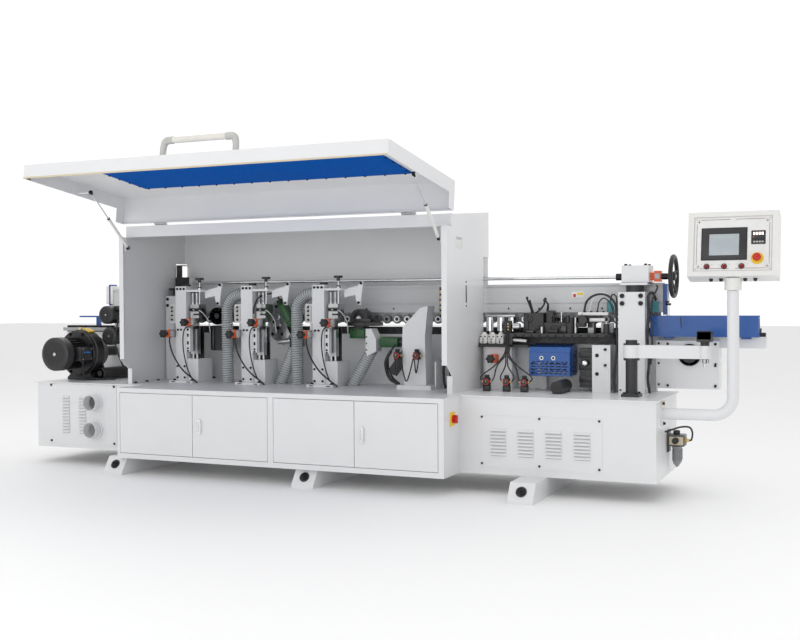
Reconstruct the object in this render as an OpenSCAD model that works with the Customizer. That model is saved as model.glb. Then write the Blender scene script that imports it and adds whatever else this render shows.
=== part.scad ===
// Edge banding machine: long sheet-metal base, hooded trimming units, gluing
// section, pressure beam over a chain conveyor, swivelling control panel.
// Units: mm.  +X along the feed line (infeed at +X), +Y to the back, +Z up.
// Origin: floor, centre of the middle foot, in the plane of the base's front.

/* [Base] */
// left end of the base
base_x0 = -2164; // [-2170:1:-2150]
// right end of the base
base_x1 = 1936; // [1930:1:1945]
// depth of the base from front to back
base_depth = 640; // [636:1:650]
// height of the underside of the base
base_z0 = 104; // [100:1:110]
// height of the top of the table plate
table_z = 535; // [534:0.5:536]
// left end of the front cabinet
cab_x0 = -1304; // [-1310:1:-1298]
// right end of the front cabinet
cab_x1 = 857; // [850:1:862]
// front face of the front cabinet
cab_y0 = -256; // [-262:1:-250]
// width of each foot
foot_w = 140; // [110:1:170]
// height of each foot
foot_h = 104; // [100:1:110]

/* [Hood] */
// left outer face of the hood
hood_x0 = -1440; // [-1445:1:-1438]
// right outer face of the hood
hood_x1 = 800; // [798:1:804]
// front edge of the hood's side plates
hood_yf = -54; // [-58:1:-50]
// back face of the hood
hood_yb = 660; // [656:1:670]
// depth of the lid's hinge line
hinge_y = 30; // [29:0.5:31]
// height of the lid's hinge line
hinge_z = 1562; // [1561:0.5:1563]
// angle of the lid from closed to its raised rest position
lid_open = 97.2; // [96:0.1:98]
// left end of the lid
lid_x0 = -1478; // [-1484:1:-1472]
// right end of the lid
lid_x1 = 808; // [804:1:814]

/* [Feed line] */
// height of the chain's running surface
track_z = 898; // [890:1:900]
// height of the underside of the pressure beam
beam_z0 = 985; // [982:1:988]
// height of the top of the pressure beam
beam_z1 = 1157; // [1156:0.5:1158]
// front face of the pressure beam
beam_y0 = 590; // [589:0.5:591]
// back face of the pressure beam
beam_y1 = 650; // [648:1:655]
// depth of the cross shaft that lifts the beam
shaft_y = 575; // [574:0.5:576]
// height of the cross shaft that lifts the beam
shaft_z = 1192; // [1191:0.5:1193]
// centre plane of the handwheel
hand_x = 1927; // [1925:1:1930]

/* [Control panel] */
// swivel axis of the control panel, along the line
pan_x = 2301; // [2290:1:2310]
// swivel axis of the control panel, depth
pan_y = 160; // [155:1:165]
// height of the underside of the panel
pan_z = 1166; // [1160:1:1170]
// backward lean of the panel
pan_tilt = 12; // [8:0.5:15]

/* [Tape carrier] */
// pivot of the banding tape arm, along the line
post_x = 1763; // [1755:1:1770]
// pivot of the banding tape arm, depth
post_y = 230; // [225:1:235]

/* [Hidden] */
white = [0.93, 0.93, 0.92];
grey = [0.72, 0.73, 0.74];
black = [0.1, 0.1, 0.11];
blue = [0.08, 0.25, 0.62];
orange = [0.9, 0.3, 0.08];
chrome = [0.8, 0.8, 0.82];
green = [0.05, 0.25, 0.1];
red = [0.75, 0.08, 0.08];
yellow = [0.95, 0.8, 0.1];
dark_grey = [0.16, 0.16, 0.17];
roller_grey = [0.45, 0.46, 0.48];
plastic_grey = [0.2, 0.2, 0.22];
clear_grey = [0.82, 0.84, 0.84];
teal = [0.1, 0.45, 0.5];

feet_x = [-1331, 0, 1285];
// left face of each trimming unit's column
unit_x = [-1252, -746, -229];
// counters beside each column, from its left face
knob_right = 130;
knob_left = -32;
// depth of the counter under the press rollers, from the others
shelf_knob_y = 194;
// lid hinge blocks and their half spacing
hinge_x = [-1181, 533];
knuckle = [-30, 30];
// gas springs: places along the hood, lower pivot, direction at rest
spring_x = [-1385, 745];
spring_pivot_y = -32;
spring_pivot_z = 1409;
spring_angle = 137.63;
// feed motor axis
feed_x = -2005;
feed_z = 720;
// spindle that carries the tape roll, along the line
tape_x = 2150;
// bends of the panel pipe and of the upright dust hoses
bend_r = 100;
hose_bend_r = 110;
// depth of the dust hoses and the height where they bend
hose_y = 400;
hose_top = 1000;

// ---- small helpers ------------------------------------------------------
// block between two corners
module slab(x0, x1, y0, y1, z0, z1)
  translate([x0, y0, z0]) cube([x1 - x0, y1 - y0, z1 - z0]);
// round bars along each axis, diameter d
module bar_x(x0, x1, y, z, d, n = 32)
  translate([x0, y, z]) rotate([0, 90, 0]) cylinder(d = d, h = x1 - x0, $fn = n);
module bar_y(x, y0, y1, z, d, n = 32)
  translate([x, y1, z]) rotate([90, 0, 0]) cylinder(d = d, h = y1 - y0, $fn = n);
module bar_z(x, y, z0, z1, d, n = 32)
  translate([x, y, z0]) cylinder(d = d, h = z1 - z0, $fn = n);
// plate with a Y-Z outline, from x0 to x1
module plate_yz(x0, x1, pts)
  translate([x0, 0, 0]) rotate([90, 0, 90]) linear_extrude(x1 - x0) polygon(pts);
// plate with an X-Z outline, from y0 to y1
module plate_xz(y0, y1, pts)
  translate([0, y1, 0]) rotate([90, 0, 0]) linear_extrude(y1 - y0) polygon(pts);
// straight round bar between two points
module straight_bar(a, b, d, n = 12) {
  v = b - a;
  l = norm(v);
  translate(a) rotate([0, acos(v[2] / l), atan2(v[1], v[0])])
    cylinder(d = d, h = l, $fn = n);
}
// round bar through a list of points with ball joints
module bent_bar(p, d, n = 10) {
  for (i = [0 : len(p) - 2]) straight_bar(p[i], p[i + 1], d, n);
  for (i = [1 : len(p) - 2]) translate(p[i]) sphere(d = d * 1.06, $fn = 8);
}
// quarter bend in the X-Z plane, centre c, from the -X side up to the top
module elbow_xz(c, r, d, a0, a1, n = 24)
  translate(c) rotate([90, 0, 0]) rotate([0, 0, a0])
    rotate_extrude(angle = a1 - a0, $fn = 48) translate([r, 0]) circle(d = d, $fn = n);

// ---- base ---------------------------------------------------------------
module hose_holes() {
  for (x = [-924, -402]) bar_z(x, 400, table_z - 13, table_z + 1, 84);
  bar_z(-529, 404, table_z - 13, table_z + 1, 100);
  bar_z(-16, 406, table_z - 13, table_z + 1, 108);
}
module base_frame() color(white) {
  difference() {
    slab(base_x0, base_x1, 0, base_depth, base_z0, table_z - 7);
    hose_holes();
    slab(base_x0 + 4, base_x1 - 4, 4, base_depth - 4, base_z0 - 1, table_z - 11);
    slab(cab_x0 + 14, cab_x1 - 14, -1, 5, 120, 512);  // open to the cabinet
    slab(-1990, -1560, -1, 5, 170, 495);  // behind left panel
    slab(1010, 1615, -1, 5, 180, 400);  // behind vent panel
  }
  difference() {
    slab(base_x0 - 12, base_x1 + 12, -12, base_depth + 12, table_z - 7, table_z);
    slab(cab_x0 - 4, cab_x1 + 4, -13, 0, table_z - 8, table_z + 1);
    hose_holes();
  }
}
module front_cabinet() color(white) difference() {
  slab(cab_x0, cab_x1, cab_y0, 0, base_z0, table_z);
  slab(cab_x0 + 4, cab_x1 - 4, cab_y0 + 4, 1, base_z0 + 4, table_z - 7);
  slab(-1286, -234, cab_y0 - 1, cab_y0 + 5, 134, 508);
  slab(-198, 825, cab_y0 - 1, cab_y0 + 5, 134, 508);
}
module foot(x) difference() {
  plate_yz(x - foot_w / 2, x + foot_w / 2, [[-274, 0], [-274, 16], [-214, foot_h],
    [base_depth - 30, foot_h], [base_depth + 30, 16], [base_depth + 30, 0]]);
  plate_yz(x - foot_w / 2 + 6, x + foot_w / 2 - 6, [[-262, 6], [-262, 17],
    [-208, foot_h - 6], [base_depth - 36, foot_h - 6], [base_depth + 18, 17],
    [base_depth + 18, 6]]);
  translate([x, -244, 60]) rotate([90 - 34.3, 0, 0]) cylinder(d = 34, h = 60, center = true);
}
module floor_feet() color(white) for (x = feet_x) foot(x);

module slats(x0, x1, z0, z1, n, y) for (i = [0 : n - 1])
  translate([x0, y, z0 + (z1 - z0) * (i + 0.5) / n]) rotate([0, 90, 0])
    intersection() {
      cylinder(d = 14, h = x1 - x0, $fn = 16);
      translate([-7, -7, 0]) cube([7, 7.5, x1 - x0]);
    }
module dust_port(x, z) difference() {
  union() {
    bar_y(x, -62, -3, z, 104, 40);
    bar_y(x, -9, -3, z, 124, 40);
  }
  bar_y(x, -63, -2, z, 98, 40);
}
module service_panels() color(white) {
  difference() {
    slab(-2060, -1512, -3, 0, 128, 524);
    for (z = [410, 233]) bar_y(-1686, -4, 1, z, 98, 40);
  }
  for (x = [[-1955, -1893], [-1819, -1757]]) slats(x[0], x[1], 200, 450, 12, -3);
  for (z = [410, 233]) dust_port(-1686, z);
  slab(976, 1655, -3, 0, 142, 428);
  for (i = [0 : 3]) slats(1033 + i * 156, 1125 + i * 156, 206, 358, 8, -3);
}

// ---- hood ---------------------------------------------------------------
side_pts = [[hood_yf, 698], [26, 637], [26, table_z], [556, table_z], [556, 1325],
  [hood_yb, 1325], [hood_yb, 1602], [64, 1551], [64, 1479], [hood_yf, 1479]];
module hood_shell() color(white) {
  for (s = [0, 1]) {
    x = s == 0 ? hood_x0 : hood_x1 - 4;
    xi = s == 0 ? hood_x0 + 4 : hood_x1 - 32;
    plate_yz(x, x + 4, side_pts);
    slab(xi, xi + 28, hood_yf, hood_yf + 4, 700, 1479);
    slab(xi, xi + 28, 26, 30, table_z, 636);
    slab(xi, xi + 28, 34, 412, table_z, table_z + 4);
  }
  slab(hood_x0 + 4, -1396, -38, -32, 1385, 1470);  // gas spring brackets
  slab(756, hood_x1 - 4, -38, -32, 1385, 1470);
  bar_x(-1410, -1377, spring_pivot_y, spring_pivot_z, 10, 24);
  bar_x(737, 770, spring_pivot_y, spring_pivot_z, 10, 24);
  difference() {
    slab(hood_x0 + 4, hood_x1 - 4, hood_yb - 4, hood_yb, 1120, 1600);
    slab(hood_x0 + 3, hood_x0 + 24, hood_yb - 5, hood_yb + 1, 1119, 1325);
  }
  plate_yz(hood_x0 + 4, hood_x1 - 4, [[64, 1547], [hood_yb - 4, 1597.5],
    [hood_yb - 4, 1601.6], [64, 1551]]);
  difference() {
    slab(hood_x0, hood_x1, 20, 64, 1480, 1550);
    slab(hood_x0 + 4, hood_x1 - 4, 24, 65, 1484, 1546);
  }
  for (x = hinge_x) {
    slab(x - 45, x + 45, 37, 43, 1550, 1565);
    for (k = knuckle) bar_x(x + k - 12, x + k + 12, hinge_y, hinge_z, 12, 20);
    for (k = knuckle) slab(x + k - 12, x + k + 12, hinge_y, 38, 1559, 1565);
  }
}

// lid, drawn closed about its hinge line and swung open to the rest position
module lid_pose() translate([0, hinge_y, hinge_z]) rotate([-lid_open, 0, 0]) children();
lid_outline = [[-176, -900], [-96, -900], [-96, -69], [-6, -69], [-6, 11], [-176, 11]];
module lid_shell() color(white) lid_pose() {
  difference() {
    plate_yz(lid_x0, lid_x1, lid_outline);
    plate_yz(lid_x0 + 3, lid_x1 - 3, [[-173, -897], [-90, -897], [-90, -70],
      [-3, -70], [-3, 8], [-173, 8]]);
    slab(-1120, 640, -177, -171, -800, -245);
  }
  slab(lid_x0 + 3, lid_x1 - 3, -173, -106, -900, -897);
  slab(lid_x0 + 3, lid_x1 - 3, -109, -106, -897, -879);
  slab(lid_x0 + 3, lid_x1 - 3, -9, -6, -8, 8);
  bar_x(lid_x0 + 3, -1395, -115, -432, 14, 24);  // gas spring studs
  bar_x(755, lid_x1 - 3, -115, -432, 14, 24);
  for (x = hinge_x) bar_x(x - 17, x + 17, 0, 0, 12, 20);
  for (x = hinge_x) slab(x - 17, x + 17, -10, 0, 0, 6);
}
module lid_window() color(blue) lid_pose()
  slab(-1135, 655, -173, -169, -815, -230);
module lid_handle() color(grey) lid_pose() for (s = [-1, 1]) {
  translate([-326 + s * 212, 0, -850]) {
    slab(-22, 22, -264, -176, -20, 20);
    bar_x(s > 0 ? -30 : -22, s > 0 ? 22 : 30, -268, 0, 42);
  }
  if (s > 0) bar_x(-508, -144, -268, -850, 34);
}

// ---- gas springs --------------------------------------------------------
module spring_pose(x) translate([x, spring_pivot_y, spring_pivot_z])
  rotate([spring_angle - 90, 0, 0]) children();
module gas_spring_cylinders() color(grey) for (x = spring_x) spring_pose(x) {
  difference() {
    union() {
      translate([0, 0, 11]) cylinder(d = 19, h = 252, $fn = 24);
      bar_x(-7, 7, 0, 0, 24, 24);
    }
    bar_x(-8, 8, 0, 0, 10.1, 24);
    translate([0, 0, 16]) cylinder(d = 8.1, h = 300, $fn = 24);
  }
}
module gas_spring_rods() color(chrome) for (x = spring_x) spring_pose(x) {
  translate([0, 0, 212]) cylinder(d = 8, h = 257, $fn = 24);
  translate([0, 0, 464.7]) difference() {
    bar_x(-7, 7, 0, 12, 24, 24);
    bar_x(-8, 8, 0, 12, 10.1, 24);
  }
}

// ---- doors --------------------------------------------------------------
module leaf(x0, x1) difference() {
  slab(x0, x1, cab_y0, cab_y0 + 16, 137, 505);
  slab(x0 + 3, x1 - 3, cab_y0 + 3, cab_y0 + 17, 140, 502);
}
module latched_leaf(x0, x1, xl) difference() {
  leaf(x0, x1);
  bar_y(xl, cab_y0 - 1, cab_y0 + 5, 319, 16.1, 24);
}
module cabinet_door_1() color(white) leaf(-1283, -754);
module cabinet_door_2() color(white) latched_leaf(-750, -237, -700);
module cabinet_door_3() color(white) leaf(-195, 320);
module cabinet_door_4() color(white) latched_leaf(324, 822, 372);
module latch(x) {
  difference() {
    union() {
      slab(x - 12, x + 12, cab_y0 - 9, cab_y0 - 1, 286, 352);
      for (z = [286, 352]) bar_y(x, cab_y0 - 9, cab_y0 - 1, z, 24, 24);
    }
    slab(x - 6, x + 6, cab_y0 - 10, cab_y0 - 5, 290, 348);
  }
  bar_y(x, cab_y0 - 1, cab_y0 + 8, 319, 16, 24);
}
module door_latch_1() color(chrome) latch(-700);
module door_latch_2() color(chrome) latch(372);

// ---- main switch on the cabinet's right side ----------------------------
module main_switch_knob() color(red) {
  bar_x(cab_x1 + 7, cab_x1 + 16, -129, 414, 46, 32);
  slab(cab_x1 + 16, cab_x1 + 32, -137, -121, 392, 436);
}

// ---- conveyor -----------------------------------------------------------
module conveyor_beam() color(white) {
  difference() {
    slab(-2440, 2425, 600, 690, 788, 852);
    slab(-2436, 2421, 604, 686, 792, 848);
  }
  difference() {
    slab(-2120, 1830, 598, base_depth, table_z, 788);
    slab(-2116, 1826, 602, base_depth - 4, table_z - 1, 784);
    bar_y(feed_x, 597, 604, feed_z, 66);
  }
  slab(-2120, 1830, 594, 598, 596, 604);
  difference() {  // cover at the infeed end
    slab(1834, 2180, 560, 676, 558, 829);
    slab(1838, 2176, 564, 672, 562, 784);
    slab(1833, 2181, 599, 677, 787, 830);
    slab(1838, 2176, 564, 595, 780, 825);
  }
}
module conveyor_chain() color(dark_grey) {
  slab(-2436, 2421, 606, 652, 852, 874);
  for (i = [0 : 68]) slab(-2430 + i * 70, -2430 + i * 70 + 67, 600, 658, 874, track_z);
  bar_y(2021, 546, 560, 749, 118, 40);
}
module guide_fences() color(blue) {
  difference() {
    slab(1810, 2395, 512, 585, 852, 970);
    for (z = [880, 935]) slab(1809, 2396, 573, 586, z, z + 12);
    slab(1809, 2396, 530, 567, 870, 952);
    slab(1809, 2396, 520, 577, 963, 971);
  }
  for (x = [1880, 2300]) slab(x, x + 50, 540, 600, 840, 852);
  slab(-2400, -1470, 696, 722, 955, 966);
  for (x = [-2240, -1530]) slab(x, x + 30, 690, 712, 800, 955);
}

// ---- columns and stands -------------------------------------------------
module lift_column(x0, x1, xc) difference() {
  union() {
    slab(x0, x1, 420, 570, table_z, 1104);
    slab(x1, x1 + 12, 435, 555, table_z, table_z + 14);
  }
  bar_z(xc, 505, 880, 1105, 100.1, 40);
  slab(x0 + 14, x1 - 14, 434, 556, table_z - 1, 860);
}
module support_columns() color(white) {
  lift_column(1650, 1798, 1727);
  lift_column(-1428, -1308, -1368);
  slab(1500, 1512, 420, 520, table_z, 804);  // glue table stand
  slab(1500, 1604, 420, 432, table_z, 804);
  slab(1500, 1604, 420, 540, table_z, table_z + 8);
  slab(840, 1004, 480, 492, table_z, 784);  // press section stand
  slab(840, 1004, 480, 570, table_z, table_z + 8);
  slab(992, 1004, 480, 570, table_z, 784);
  slab(1160, 1196, 545, 580, table_z, 804);
  slab(-1740, -1680, 440, 500, table_z, 1046);  // buffing post
  slab(-1880, -1740, 450, 462, 782, 1046);
}

module unit_stand(x) translate([x, 0, 0]) {
  difference() {
    slab(-12, 168, 225, 525, table_z, 549);
    for (u = [6, 124]) slab(u, u + 30, 222, 246, 538, 544);
  }
  difference() {
    slab(0, 84, 285, 350, 549, 1165);
    slab(12, 72, 310, 351, 600, 1120);
  }
  slab(84, 168, 296, 460, 549, 690);
  difference() {
    slab(84, 196, 290, 420, 1128, 1142);
    bar_z(160, 330, 1127, 1143, 10, 16);
  }
  slab(-6, 84, 350, 420, 1128, 1142);
  slab(84, 96, 404, 420, 690, 1128);
  plate_xz(340, 352, [[196, 1134], [290, 1158], [312, 1186], [326, 1180], [306, 1040],
    [284, 1040], [270, 1100], [196, 1086]]);
  slab(-52, -4, 292, 332, 925, 1045);
  slab(-4, 0, 300, 330, 930, 1040);
  slab(98, 128, 264, 296, 738, 894);
}
module unit_stands() color(white) {
  for (x = unit_x) unit_stand(x);
  difference() {  // dust cowl of the third unit
    plate_xz(386, 472, [[88, 748], [100, 722], [160, 752], [160, 824], [128, 890], [90, 890]]);
    plate_xz(389, 469, [[91, 749], [101, 727], [157, 754], [157, 823], [126, 887], [93, 887]]);
    straight_bar([-50, 400, 470], [124.5, 430.8, 778], 75, 36);
  }
}

module unit_slide(x) translate([x, 0, 0]) {
  for (u = [108, 138]) bar_z(u, 330, 690, 1128, 16, 20);
  difference() {
    slab(98, 164, 312, 398, 930, 1046);
    for (u = [108, 138]) bar_z(u, 330, 929, 1047, 16, 20);
    bar_z(160, 330, 929, 1047, 10, 16);
  }
  slab(100, 150, 312, 372, 720, 900);
  slab(96, 166, 262, 312, 905, 956);
  slab(-56, -8, 262, 292, 830, 882);
  slab(-20, -8, 292, 330, 830, 925);
}
module unit_slides() color(chrome) {
  for (x = unit_x) unit_slide(x);
  // press rollers on their shelf
  for (x = [842, 912, 982]) {
    bar_z(x, 562, 876, 960, 50, 32);
    bar_z(x, 562, 800, 972, 14, 16);
  }
  bar_z(1905, 550, 963, 1070, 14, 20);  // fence adjusting screw
  // inclined plate of the scraper unit
  plate_xz(482, 490, [[-655, 1020], [-610, 1062], [-500, 850], [-552, 776],
    [-640, 830], [-672, 870]]);
}
module counter(x, z) difference() {
  slab(x - 22, x + 22, 226, 262, z - 25, z + 25);
  bar_y(x, 225, 263, z, 12.1, 24);
}
module position_counters() color(orange) {
  for (x = unit_x) {
    counter(x + knob_right, 930);
    counter(x + knob_left, 856);
  }
  translate([0, shelf_knob_y, 0]) counter(902, 717);
  difference() {
    slab(888, 916, 456, 480, 702, 732);
    bar_y(902, 455, 470, 717, 12.1, 24);
  }
}
module star_knob(x, z) {
  bar_y(x, 176, 204, z, 36, 24);
  for (a = [0 : 60 : 300]) bar_y(x + 19 * cos(a), 178, 202, z + 19 * sin(a), 15, 14);
  bar_y(x, 204, 224, z, 20, 24);
  bar_y(x, 224, 262, z, 12, 24);
}
module counter_knob_7() color(black) translate([0, shelf_knob_y, 0]) star_knob(902, 717);
module counter_knob_1() color(black) star_knob(unit_x[0] + knob_right, 930);
module counter_knob_2() color(black) star_knob(unit_x[0] + knob_left, 856);
module counter_knob_3() color(black) star_knob(unit_x[1] + knob_right, 930);
module counter_knob_4() color(black) star_knob(unit_x[1] + knob_left, 856);
module counter_knob_5() color(black) star_knob(unit_x[2] + knob_right, 930);
module counter_knob_6() color(black) star_knob(unit_x[2] + knob_left, 856);

module trim_motors() color(green) {
  translate([-505, 425, 985]) rotate([0, -28, 0]) slab(-26, 26, 0, 55, -86, 86);
  translate([-505, 425, 985]) rotate([0, -28, 0]) slab(-16, 16, -12, 0, -66, 66);
  slab(-45, 60, 430, 520, 828, 888);
  bar_x(60, 84, 475, 858, 50, 24);
  slab(178, 298, 400, 480, 776, 840);
  bar_x(298, 330, 440, 808, 46, 24);
  slab(600, 690, 400, 500, 842, 925);
  bar_z(645, 450, 925, 960, 50, 24);
}
module cutter_heads() color(black) {
  bar_y(-1022, 425, 535, 968, 116, 32);  // first unit: motor and body
  slab(-1070, -960, 440, 530, 740, 905);
  bar_y(-1022, 535, 556, 968, 60, 24);
  bar_y(-495, 520, 560, 900, 70, 24);
  bar_y(16, 440, 520, 952, 120, 40);  // third unit: cutter guard
  slab(-60, 130, 440, 560, 905, 930);
  slab(-20, 110, 470, 540, 930, 960);
  bar_y(340, 440, 520, 700, 90, 32);
  translate([300, 420, 690]) rotate([0, 38, 0]) slab(-26, 26, 0, 60, -90, 90);
  slab(560, 640, 440, 520, 965, 1144);  // valve panel behind the cover
  for (x = unit_x) {  // spindles, stops and clamps
    bar_z(x + 160, 330, 1046, 1206, 10, 16);
    bar_z(x + 160, 330, 1142, 1160, 26, 20);
    bar_z(x + 160, 330, 1206, 1220, 56, 28);
    bar_z(x + 160, 330, 1188, 1206, 22, 20);
    bar_z(x + 60, 330, 1165, 1178, 52, 28);
    slab(x + 150, x + 164, 262, 312, 886, 905);
    slab(x + 130, x + 165, 300, 312, 975, 985);
    slab(x + 130, x + 165, 300, 312, 1005, 1015);
  }
}

// ---- motors on the left base --------------------------------------------
module feed_motor() color(black) {
  x = feed_x;
  z = feed_z;
  difference() {
    union() {
      bar_y(x, -12, 66, z, 224, 40);
      bar_y(x, -20, -12, z, 180, 40);
    }
    for (r = [40, 62, 84]) difference() {
      bar_y(x, -21, -16, z, 2 * r + 8, 40);
      bar_y(x, -22, -15, z, 2 * r - 2, 40);
    }
  }
  bar_y(x, 66, 200, z, 176, 40);
  for (a = [20 : 20 : 340]) translate([x, 74, z]) rotate([0, a, 0]) slab(-3, 3, 0, 120, 60, 102);
  slab(x + 70, x + 150, 84, 184, z - 42, z + 40);
  bar_y(x, 200, 228, z, 300, 48);
  bar_y(x, 228, 300, z, 316, 48);
  translate([x, 300, z]) rotate([-90, 0, 0]) cylinder(d1 = 280, d2 = 210, h = 110, $fn = 48);
  for (a = [0 : 45 : 315]) bar_y(x + 138 * cos(a + 22), 190, 202, z + 138 * sin(a + 22), 18, 12);
  bar_y(x, 410, 604, z, 60);
  slab(x - 110, x + 110, 232, 400, table_z, table_z + 24);
  slab(x - 90, x + 90, 236, 300, table_z + 24, z - 120);
  slab(x - 90, x + 90, 300, 390, table_z + 24, z - 90);
  bar_y(-1852, 250, 560, 579, 78, 32);
  slab(-1884, -1820, 262, 548, table_z, 560);
}
module buffing_motors() color(black) {
  for (m = [[-1828, 977, 150], [-1803, 833, 116]]) {
    bar_y(m[0], 300, 440, m[1], 124, 32);
    bar_y(m[0], 286, 300, m[1], 104, 32);
    bar_y(m[0], 440, 450, m[1], 90, 32);
    bar_y(m[0], 462, 500, m[1], 26, 20);
    bar_y(m[0], 500, 560, m[1], m[2], 40);
  }
}

// ---- last trimming station ----------------------------------------------
trim_outline = [[390, 560], [534, 560], [527, 846], [546, 1030], [497, 1018], [384, 905],
  [380, 791]];
trim_hollow = [[394, 558], [530, 558], [523, 846], [541, 1025], [499, 1013.5], [388, 903],
  [384, 791]];
module end_trim_cover() color(white) {
  slab(366, 584, 235, 420, table_z, 560);
  difference() {
    plate_xz(285, 395, trim_outline);
    plate_xz(289, 396, trim_hollow);
  }
  slab(584, 592, 300, 420, table_z, 700);
}

// ---- compressed air -----------------------------------------------------
module small_regulator(x, y, z) translate([x, y, z]) {
  slab(-18, 18, -18, 18, -22, 22);
  bar_z(0, 0, 22, 40, 26, 24);
  bar_y(0, -26, -18, 0, 34, 24);
  slab(18, 30, -7, 7, -7, 7);
  slab(-30, -18, -7, 7, -7, 7);
}
module air_preparation() color(plastic_grey) {
  for (x = [362, 488]) {
    small_regulator(x, 255, 735);
    slab(x - 8, x + 8, 273, 285, 727, 743);
  }
  slab(336, 380, 285, 291, 690, 780);
  for (x = [911, 1030, 1137]) {
    small_regulator(x, 300, 590);
    slab(x - 16, x + 16, 286, 314, table_z, 568);
  }
  // filter and regulator on the right end of the base
  slab(base_x1, base_x1 + 8, 320, 400, 230, 345);
  slab(base_x1 + 8, 2030, 312, 402, 262, 326);
  for (y = [334, 380]) {
    bar_z(1986, y, 160, 262, 44, 28);
    bar_z(1986, y, 150, 160, 30, 20);
  }
  bar_z(1986, 334, 326, 350, 30, 24);
  bar_y(1986, 270, 312, 296, 34, 24);
  bar_x(2030, 2046, 357, 294, 26, 20);
}

// ---- gluing section -----------------------------------------------------
module glue_table() color(black) {
  difference() {
    slab(1014, 1640, 405, 582, 804, 868);
    slab(1030, 1624, 400, 566, 800, 846);
    translate([1640, 405, 0]) rotate([0, 0, 45]) slab(-40, 40, -40, 40, 790, 880);
  }
  slab(804, 1112, 455, 590, 784, 800);
  slab(1080, 1200, 470, 560, 868, 986);
  slab(1200, 1330, 480, 575, 868, 930);
  slab(1210, 1250, 500, 560, 930, 1000);
  bar_z(1350, 520, 868, 960, 90, 32);
  slab(1400, 1520, 500, 585, 930, 972);
  slab(1450, 1480, 520, 560, 868, 930);
  bar_y(1440, 440, 500, 945, 46, 24);
  slab(1540, 1620, 500, 575, 868, 880);
  bar_z(1578, 440, 868, 924, 34, 24);
  straight_bar([1130, 500, 986], [1112, 490, 1062], 12);
  straight_bar([1210, 520, 1000], [1216, 520, 1040], 12);
  slab(966, 1010, 440, 455, 876, 940);
  slab(966, 1010, 440, 520, 868, 876);
  slab(972, 1004, 470, 520, 800, 868);
  slab(1210, 1370, 542, 584, 640, 784);  // glue pot under the table
  slab(1420, 1494, 450, 530, 560, 784);  // gluing drive
  bar_y(1345, 225, 430, 571, 72, 32);
  slab(1320, 1370, 232, 420, table_z, 548);
}
module glue_guard() color(blue) difference() {
  plate_yz(1140, 1380, [[380, 624], [536, 624], [536, 806], [400, 790], [380, 760]]);
  plate_yz(1143, 1377, [[383, 620], [540, 620], [540, 803.5], [401, 787.3], [383, 759]]);
  for (x = [1214, 1284]) bar_y(x, 378, 385, 728, 20, 24);
  for (i = [0 : 5]) for (j = [0 : 3]) slab(1152 + i * 37, 1178 + i * 37, 378, 385,
    640 + j * 18, 646 + j * 18);
}
module valve_block() color(white) {
  for (i = [0 : 2]) {
    slab(806 + i * 52, 854 + i * 52, 462, 528, 802, 866);
    bar_z(830 + i * 52, 480, 866, 872, 20, 16);
  }
  slab(806, 958, 456, 530, 800, 802);
}

// ---- control panel carrier ----------------------------------------------
module control_pipe() color(white) {
  translate([base_x1, pan_y, 456]) rotate([0, 90, 0]) scale([1.9, 1, 1])
    cylinder(d = 74, h = 8, $fn = 48);
  bar_x(base_x1 + 8, pan_x - bend_r, pan_y, 456, 60, 40);
  elbow_xz([pan_x - bend_r, pan_y, 556], bend_r, 60, 270, 360, 40);
  difference() {
    bar_z(pan_x, pan_y, 556, 1104, 60, 40);
    bar_z(pan_x, pan_y, 1000, 1105, 44.1, 40);
  }
}
module panel_pose() translate([pan_x, pan_y, pan_z]) rotate([-pan_tilt, 0, 0]) children();
module control_box() color(white) {
  panel_pose() difference() {
    slab(-225, 225, -62, 68, 0, 342);
    slab(-222, 222, -51, 65, 3, 339);
    slab(-195, 195, -63, -54, 26, 316);
    slab(-114, 71, -55, -50, 86, 255);
    bar_y(122, -56, -50, 92, 22.1, 28);
    for (x = [-127, -40, 46]) bar_y(x, -56, -50, 52, 14.1, 24);
  }
  bar_z(pan_x, pan_y, 1106, 1170, 86, 40);
  bar_z(pan_x, pan_y, 1010, 1106, 44, 40);
}
module control_screen() color(black) panel_pose() {
  slab(-157, 72, -60, -54, 84, 257);
  slab(-114, 71, -54, -32, 86, 255);
  slab(91, 161, -58, -54, 166, 238);
}
module emergency_stop() color(red) panel_pose() {
  bar_y(122, -98, -78, 92, 42, 32);
  bar_y(122, -78, -38, 92, 22, 28);
}
module selector(x) panel_pose() {
  bar_y(x, -66, -56, 52, 30, 28);
  bar_y(x, -56, -34, 52, 14, 24);
  slab(x - 4, x + 4, -76, -66, 39, 65);
}
module selector_1() color(red) selector(-127);
module selector_2() color(red) selector(-40);
module selector_3() color(red) selector(46);

// ---- hoses and cables ---------------------------------------------------
module hose_ring(d) difference() {
  circle(d = d, $fn = 36);
  circle(d = d - 6, $fn = 36);
}
module dust_hoses() color(clear_grey) {
  for (x = [-924, -402]) {
    translate([x, hose_y, table_z - 60]) linear_extrude(hose_top - table_z + 60) hose_ring(78);
    translate([x + hose_bend_r, hose_y, hose_top]) rotate([90, 0, 0]) rotate([0, 0, 90])
      rotate_extrude(angle = 90, $fn = 48) translate([hose_bend_r, 0]) hose_ring(78);
    translate([x + hose_bend_r, hose_y, hose_top + hose_bend_r]) rotate([0, 90, 0])
      linear_extrude(40) hose_ring(78);
  }
  for (p = [[[-545, 400, 490], [-440, 430, 760]], [[-50, 400, 470], [120, 430, 770]]]) {
    v = p[1] - p[0];
    translate(p[0]) rotate([0, acos(v[2] / norm(v)), atan2(v[1], v[0])])
      linear_extrude(norm(v)) hose_ring(74);
  }
}
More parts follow.
